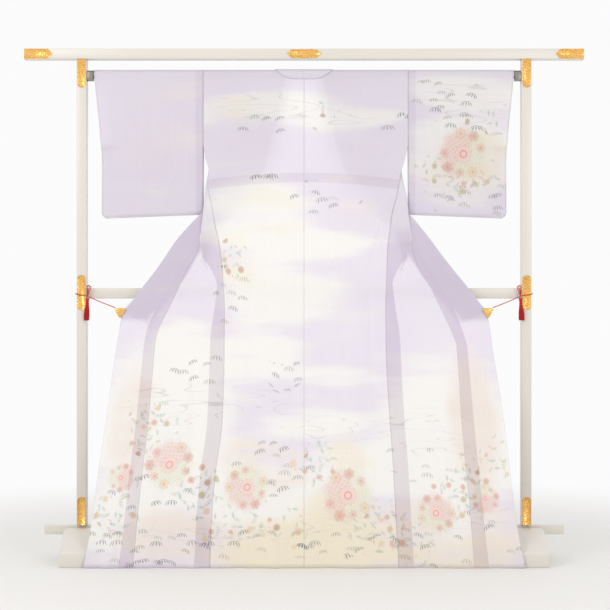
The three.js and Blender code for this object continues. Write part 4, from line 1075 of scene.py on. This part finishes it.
# %% Sleeves
SLEEVE_EDGE = [{"z": 1573, "outer": 680}, {"z": 1480, "outer": 671}, {"z": 1390, "outer": 662},
               {"z": 1276, "outer": 656}, {"z": 1100, "outer": 657}]
SLEEVE = {"bottom_inner": 1121, "bottom_outer": 1109, "corner": 18, "wrist_z": 1345, "wrist_taper": 24,
          "gap_bottom": 7, "gap_closed": 1.2, "fold_drop": 3, "seam_z": 1354}
SLEEVE_CREASES = [  # across share and level of both ends, half width in mm, depth
    (0.10, 1560, 0.16, 1180, 16, 1.3), (0.34, 1550, 0.30, 1230, 20, -1.4), (0.55, 1520, 0.62, 1150, 18, 1.5),
    (0.80, 1540, 0.74, 1260, 15, -1.2), (0.20, 1330, 0.42, 1130, 14, 1.1), (0.90, 1420, 0.86, 1140, 12, 1.0),
]
SLEEVE_WIDTH = 340
SLEEVE_FRONT_UP = 4  # metres: on the cut, the front of a sleeve lies this far above its back
SLEEVE_SHADE = 0.25  # painted shade where the far side of the tube lies behind


def sleeve_crease(facing, share, z):
    depth = 0.0
    for share_0, z_0, share_1, z_1, width, height in SLEEVE_CREASES:
        if facing > 0:
            share_0, share_1, height = 1 - share_0, 1 - share_1, -height * 0.8
        along = clamp01((z_0 - z) / (z_0 - z_1))
        gap = abs(share - mix(share_0, share_1, along)) * SLEEVE_WIDTH
        fade = ease((z_0 - z) / 60) * ease((z - z_1) / 60)
        depth += height * fade * bump_profile(gap / width)
    return depth


def sleeve_place(side):
    seam_x = level("side", side, ROD_Z) + SEAM_GAP

    def place(share, t):
        bottom = mix(SLEEVE["bottom_inner"], SLEEVE["bottom_outer"], share)

        def across_at(z):
            drop = clamp01((z - bottom) / SLEEVE["corner"])
            corner = SLEEVE["corner"] * (1 - math.sqrt(1 - (1 - drop) ** 2))
            return mix(seam_x, column(SLEEVE_EDGE, "outer", z) - corner, share)

        def half_gap(z, body):
            hung = mix(DRAPE_RADIUS, SLEEVE["gap_bottom"], clamp01((ROD_Z - z) / (ROD_Z - bottom)))
            sewn = ease((z - SLIT_Z) / (SLEEVE["seam_z"] - SLIT_Z)) * (1 - ease(share / 0.42))
            closed = ease((SLEEVE["wrist_z"] - z) / SLEEVE["wrist_taper"]) * ease((share - 0.77) / 0.23)
            return mix(mix(hung, body, sewn), SLEEVE["gap_closed"], closed)

        height = ROD_Z - bottom
        half = height + SHOULDER_ARC
        along = (t - 0.5) * 2 * half  # 0 is the top of the rod, below 0 the back
        facing = -1 if along < 0 else 1
        length = abs(along)
        across = side * (SLEEVE_AT + share * SLEEVE_WIDTH * MM)
        cut_start = SLEEVE_FRONT_UP if facing > 0 else 0
        if length <= SHOULDER_ARC:
            return draped_point(side * across_at(ROD_Z), along), (across, height * MM + cut_start), SLEEVE_SHADE
        z = max(bottom, ROD_Z - (length - SHOULDER_ARC))
        up = (z - bottom) * MM + cut_start
        near_fold = clamp01((z - bottom) / 12)
        body = -back_depth(side, 1, z) if facing < 0 else level("front_y", side, round(max(z, SLEEVE["seam_z"]), 3))
        gap = half_gap(z, body) * math.sqrt(1 - (1 - near_fold) ** 2)
        crease = sleeve_crease(facing, share, z) * near_fold
        y = facing * (gap + crease * min(1, gap / 4))
        drop = SLEEVE["fold_drop"] * (1 - near_fold)
        return Vector((side * across_at(z), y, z - drop)), (across, up), SLEEVE_SHADE

    return place


for name, side in SIDES.items():
    cloth_sheet(
        f"sleeve_{name}_cloth", 44, 200, sleeve_place(side), silk, [f"sleeve_{name}"], round_cloth=True)

# %% [markdown]

# %% [markdown]
# ## Ivory lacquer
# The stand is wood under several coats of warm ivory lacquer. It is smooth and softly glossy, with a slight
# unevenness left by the brush, and a little darker on its outer edges, where hands and dust have settled.

# %% Lacquer material
def object_place():
    return node("TexCoord").outputs["Object"]


def lacquer_material():
    material = new_material("lacquer_ivory")
    place = object_place()
    brushed = noise(place, 60.0, 2.0)
    colour = colour_mix(noise(place, 2.5, 3.0), paint(215, 210, 202), paint(208, 202, 193))
    worn = soft_step(node("NewGeometry").outputs["Pointiness"], 0.53, 0.60)
    colour = colour_mix(times(worn, 0.35), colour, paint(190, 179, 157))
    return finish_material(material, node("BsdfPrincipled", {
        "Base Color": colour, "Roughness": times_plus(brushed, 0.16, 0.26), "Coat Weight": 0.25,
        "Coat Roughness": 0.2, "Normal": bump(brushed, 0.05, 0.001)}))


lacquer = lacquer_material()
print("lacquer:", lacquer.name)

# %% [markdown]
# ## Bars, posts and feet with eased edges
# A lacquered edge is never knife sharp: the wood is eased first, or the lacquer would wear through. Each packed
# piece is copied, its loose triangles merged, the flat faces joined up again, and its edges bevelled.

# %% Stand pieces
def packed_copy(node_name):
    """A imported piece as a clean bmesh: loose triangles merged, flat faces joined up again."""
    bm = bmesh.new()
    bm.from_mesh(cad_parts[node_name].data)
    bmesh.ops.remove_doubles(bm, verts=bm.verts, dist=0.00001)
    bmesh.ops.dissolve_limit(bm, angle_limit=math.radians(1), verts=bm.verts, edges=bm.edges)
    return bm


def eased_copy(name, node_name, material, ease_width, segments=3):
    bm = packed_copy(node_name)
    sharp = [e for e in bm.edges if len(e.link_faces) == 2 and e.calc_face_angle() > math.radians(25)]
    bmesh.ops.bevel(bm, geom=sharp, offset=ease_width, affect="EDGES", segments=segments, profile=0.5, material=-1,
                    clamp_overlap=True)
    return finish_piece(bm, name, material, [node_name], sharp_angle=50)


EASED = 0.0022
for node_name in ("top_beam", "middle_rail", "low_rail", "post_left", "post_right", "foot_left", "foot_right"):
    eased_copy(f"{node_name}_lacquered", node_name, lacquer, EASED)
print("stand pieces eased by", EASED * 1000, "mm")

# %% [markdown]
# ## Gilt fittings
# The fittings are thin brass sheet, engraved with curling vines, gilded and held by small domed nails.
# The engraving is fine line work, so it goes into the material as bump and darker colour. The nails and the raised
# rim are real shapes.

# %% Brass and steel materials
def brass_material():
    material = new_material("brass_gilt")
    place = object_place()
    vines = node("TexVoronoi", {"Vector": place, "Scale": 150.0, "Randomness": 0.9}, feature="DISTANCE_TO_EDGE")
    swirl = node("TexWave", {"Vector": place, "Scale": 48.0, "Distortion": 7.0, "Detail": 1.5, "Detail Scale": 1.6},
                 wave_type="RINGS", rings_direction="Y")
    groove = larger(minus(1.0, soft_step(vines.outputs["Distance"], 0.03, 0.1)),
                    soft_step(swirl.outputs["Fac"], 0.72, 0.9))
    grain = noise(place, 300.0, 2.0)
    colour = colour_mix(times(groove, 0.6), paint(246, 204, 122), paint(196, 132, 60))
    colour = colour_mix(times(grain, 0.3), colour, paint(214, 140, 60))
    height = times_plus(grain, 0.15, minus(1.0, groove))
    return finish_material(material, node("BsdfPrincipled", {
        "Base Color": colour, "Metallic": 0.9, "Roughness": times_plus(groove, 0.22, 0.26),
        "Normal": bump(height, 0.55, 0.0006)}))


def steel_material():
    material = new_material("steel_dark")
    brushed = noise(stretched(object_place(), 8.0, 240.0, 240.0), 3.0, 3.0)
    colour = colour_mix(brushed, paint(152, 148, 141), paint(124, 121, 116))
    return finish_material(material, node("BsdfPrincipled", {
        "Base Color": colour, "Metallic": 0.8, "Roughness": times_plus(brushed, 0.2, 0.3),
        "Normal": bump(brushed, 0.1, 0.0005)}))


brass, steel = brass_material(), steel_material()
print("metals:", brass.name, steel.name)

# %% Fittings
NAIL_RADIUS = 0.0021
RIM_WIDTH, RIM_STEP, RIM_HEIGHT = 0.0014, 0.0004, 0.0004


def fitting(name, node_name, across, up):
    """A plate with a raised rim on its front, and domed nails at the given shares of its half width and height."""
    bm = packed_copy(node_name)
    face = max((f for f in bm.faces if f.normal.y < -0.95), key=lambda f: f.calc_area())
    front_y = face.calc_center_median().y
    bmesh.ops.inset_region(bm, faces=[face], thickness=RIM_WIDTH, depth=0)
    bmesh.ops.inset_region(bm, faces=[face], thickness=RIM_STEP, depth=-RIM_HEIGHT)
    low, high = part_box(node_name)
    middle, half = (low + high) / 2, (high - low) / 2
    for x, z in ((middle.x + half.x * a, middle.z + half.z * b) for a in across for b in up):
        dome = bmesh.ops.create_uvsphere(bm, u_segments=14, v_segments=8, radius=NAIL_RADIUS)
        bmesh.ops.scale(bm, verts=dome["verts"], vec=(1, 0.55, 1))
        bmesh.ops.translate(bm, verts=dome["verts"], vec=(x, front_y + RIM_HEIGHT, z))
    return finish_piece(bm, name, brass, [node_name], sharp_angle=35)


fitting("beam_centre_fitting", "beam_centre_plate", (-0.6, 0.6), (0,))
for name in SIDES:
    for place, plate, across, up in (
            ("beam_cap", "beam_cap", (-0.5, 0.5), (0,)), ("post_top", "post_top_plate", (0,), (-0.6, 0.75)),
            ("post_middle", "post_middle_plate", (0,), (-0.75, 0.75)),
            ("post_foot", "post_foot_plate", (0,), (-0.7, 0.35))):
        fitting(f"{place}_fitting_{name}", f"{plate}_{name}", across, up)
    eased_copy(f"clip_{name}_gilt", f"clip_{name}", brass, 0.0009, 2)
eased_copy("hanging_rod_steel", "hanging_rod", steel, 0.0012, 2)
print("fittings with nails made")

# %% [markdown]
# ## Red cords and tassels
# Each clip is tied to its post by a twisted red cord. Three strands wind round the cord's own line.
# The cord's line is a curve through listed points, and each strand is another curve beside it.

# %% Cord material
def cord_material():
    material = new_material("cord_red")
    fibres = noise(object_place(), 900.0, 2.0)
    return finish_material(material, node("BsdfPrincipled", {
        "Base Color": colour_mix(fibres, paint(214, 20, 34), paint(160, 8, 20)), "Roughness": 0.6,
        "Sheen Weight": 0.4, "Sheen Roughness": 0.4, "Normal": bump(fibres, 0.35, 0.0003)}))


red = cord_material()
print("cord:", red.name)

# %% Cords
STRAND_RADIUS, STRAND_OFFSET, TWIST_PITCH, STRAND_SIDES = 0.86, 0.74, 9.0, 6  # millimetres
PATH_STEP = 1.4
KNOT = (699, -26.6, 853)
WRAP_POINTS = [
    KNOT, (710, -24.0, 856), (732, -24.2, 859), (738.4, -22.1, 861), (738.5, 0, 862), (738.3, 20.9, 862),
    (720, 23.3, 883), (701.1, 22.5, 888), (701.5, 0, 888), (701.3, -19.0, 883), KNOT,
]
SPAN_POINTS = [KNOT, (652.8, -42.9, 833.8), (606.5, -59.2, 816.5)]
LOOP_POINTS = [KNOT, (694, -27.6, 867), (689, -27.6, 884), (693, -26.6, 885), (698, -25.6, 867), KNOT]


def smooth_path(points):
    """Points on a centripetal Catmull-Rom curve, about one step apart."""
    padded = [points[0] * 2 - points[1], *points, points[-1] * 2 - points[-2]]
    out = []
    for k in range(1, len(padded) - 2):
        p0, p1, p2, p3 = padded[k - 1:k + 3]
        knots = [0.0]
        for a, b in ((p0, p1), (p1, p2), (p2, p3)):
            knots.append(knots[-1] + max(1e-6, (b - a).length) ** 0.5)
        count = max(2, round((p2 - p1).length / PATH_STEP))
        for n in range(count):
            t = mix(knots[1], knots[2], n / count)

            def between(a, b, low, high):
                return a * ((high - t) / (high - low)) + b * ((t - low) / (high - low))

            a1, a2, a3 = (between(p, q, knots[i], knots[i + 1]) for i, (p, q) in
                          enumerate(((p0, p1), (p1, p2), (p2, p3))))
            b1, b2 = between(a1, a2, knots[0], knots[2]), between(a2, a3, knots[1], knots[3])
            out.append(between(b1, b2, knots[1], knots[2]))
    return [*out, points[-1]]


def twisted_cord(bm, line, strands=3):
    """Strands wound round a line, as rings of corners bridged into tubes."""
    normal = Vector((0, 0, 1)) if abs((line[1] - line[0]).normalized().z) < 0.9 else Vector((1, 0, 0))
    frames, travelled = [], 0.0
    for k, point in enumerate(line):
        ahead = (line[min(len(line) - 1, k + 1)] - line[max(0, k - 1)]).normalized()
        normal = (normal - ahead * normal.dot(ahead)).normalized()
        frames.append((point, ahead, normal.copy(), travelled))
        if k + 1 < len(line):
            travelled += (line[k + 1] - point).length
    for strand in range(strands):
        before = None
        for point, ahead, up, length in frames:
            turn = 2 * math.pi * (length / TWIST_PITCH + strand / strands)
            out = up * math.cos(turn) + ahead.cross(up) * math.sin(turn)
            centre = (point + out * STRAND_OFFSET + Vector((0, STAND_Y, 0))) * MM
            ring = bmesh.ops.create_circle(bm, segments=STRAND_SIDES, radius=STRAND_RADIUS * MM)["verts"]
            turned = ahead.to_track_quat("Z", "Y").to_matrix().to_4x4()
            bmesh.ops.transform(bm, matrix=Matrix.Translation(centre) @ turned, verts=ring)
            edges = edges_of(ring)
            if before is None:
                bmesh.ops.contextual_create(bm, geom=edges)
            else:
                bmesh.ops.bridge_loops(bm, edges=before + edges)
            before = edges
        bmesh.ops.contextual_create(bm, geom=before)


def mirrored(points, side):
    return [Vector((side * x, y, z)) for x, y, z in points]


for name, side in SIDES.items():
    bm = bmesh.new()
    for points in (WRAP_POINTS, SPAN_POINTS, LOOP_POINTS):
        twisted_cord(bm, smooth_path(mirrored(points, side)))
    bmesh.ops.recalc_face_normals(bm, faces=bm.faces)
    finish_piece(bm, f"tie_cord_{name}_twisted", red, [f"tie_cord_{name}"])
print("cord points:", len(smooth_path(mirrored(WRAP_POINTS, 1))))

# %% Tassels
TASSEL = {"head_top": 847.2, "head_height": 9, "length": 74, "threads": 170, "thread": 0.42, "spread": 9}
BINDING = {"turns": 6, "radius": 5.2, "cord": 0.95, "pitch": 1.6}
GOLDEN_ANGLE = 2.39996
THREAD_STEPS = 7
random.seed(20)
for name, side in SIDES.items():
    bm = bmesh.new()
    top = Vector((side * 700, -26.6 + STAND_Y, TASSEL["head_top"]))
    for ring in range(BINDING["turns"]):
        turn_radius = BINDING["radius"] + 0.5 * math.sin(ring)
        made = bmesh.ops.create_circle(bm, segments=8, radius=BINDING["cord"] * MM)["verts"]
        start = Matrix.Translation(Vector((turn_radius, 0, 0)) * MM) @ Matrix.Rotation(math.radians(90), 4, "X")
        bmesh.ops.transform(bm, matrix=start, verts=made)
        edges = edges_of(made)
        bmesh.ops.spin(bm, geom=made + edges, cent=(0, 0, 0), axis=(0, 0, 1), angle=2 * math.pi, steps=22,
                       use_merge=True)
        ring_verts = [v for v in bm.verts if v.co.length < 0.02]  # the others are at the post already
        bmesh.ops.translate(bm, verts=ring_verts, vec=(top - Vector((0, 0, 0.9 + ring * BINDING["pitch"]))) * MM)
    for k in range(TASSEL["threads"]):
        angle = k * GOLDEN_ANGLE
        share = math.sqrt((k + 0.5) / TASSEL["threads"])
        length = TASSEL["length"] - TASSEL["head_height"] - random.uniform(0, 4)
        sway, phase = random.uniform(0.3, 1.1), random.uniform(0, 6.28)
        before = None
        for n in range(THREAD_STEPS + 1):
            along = n / THREAD_STEPS
            reach = mix(4.4 * share, TASSEL["spread"] * share, ease(along * 1.3))
            x = math.cos(angle) * reach + side * 3 * along + sway * math.sin(phase + along * 5) * along
            y = math.sin(angle) * reach * mix(1, 0.65, along)
            centre = top + Vector((x, y, -TASSEL["head_height"] + 1.5 - length * along))
            ring = bmesh.ops.create_circle(bm, segments=4, radius=TASSEL["thread"] * MM)["verts"]
            bmesh.ops.translate(bm, verts=ring, vec=centre * MM)
            edges = edges_of(ring)
            if before is not None:
                bmesh.ops.bridge_loops(bm, edges=before + edges)
            before = edges
    bmesh.ops.recalc_face_normals(bm, faces=bm.faces)
    finish_piece(bm, f"tassel_{name}_threads", red, [f"tassel_{name}"])
print("tassel threads:", TASSEL["threads"])

# %% [markdown]
# ## Floor and light
# The room is nearly white. A pale floor fades into the white of the world, so no horizon shows behind the cloth.
# Soft light comes from everywhere, with two large lamps in front to give the folds their shape.

# %% Floor
WORLD_LIGHT = 0.97


def floor_material():
    material = new_material("floor_pale")
    far = soft_step(vectors("LENGTH", object_place()), 1.0, 2.6)
    near = node("BsdfPrincipled", {"Base Color": paint(228, 226, 223), "Roughness": 0.7})
    away = node("Emission", {"Color": paint(255, 255, 255), "Strength": WORLD_LIGHT})
    return finish_material(material, node("MixShader", {0: far, 1: near, 2: away}))


bm = bmesh.new()
bmesh.ops.create_circle(bm, cap_ends=True, segments=64, radius=40)
floor_mesh = bpy.data.meshes.new("floor")
bm.to_mesh(floor_mesh)
bm.free()
floor_mesh.materials.append(floor_material())
floor = placed("floor", floor_mesh)
print("floor:", floor.name)

# %% Lights
world = bpy.data.worlds.new("studio")
bpy.context.scene.world = world
world.use_nodes = True
world.node_tree.nodes["Background"].inputs["Color"].default_value = (1, 1, 1, 1)
world.node_tree.nodes["Background"].inputs["Strength"].default_value = WORLD_LIGHT
bpy.context.scene.view_settings.view_transform = "Standard"


def soft_lamp(name, place, size, power_watts):
    data = bpy.data.lights.new(name, "AREA")
    data.shape = "SQUARE"
    data.size = size
    data.energy = power_watts
    lamp = placed(name, data)
    lamp.location = place
    lamp.rotation_euler = (Vector((0, 0, 0.9)) - Vector(place)).to_track_quat("-Z", "Y").to_euler()


soft_lamp("lamp_front_left", (-2.6, -3.2, 2.6), 1.6, 42)
soft_lamp("lamp_front_right", (2.4, -3.4, 1.8), 1.8, 26)
print("lights set")
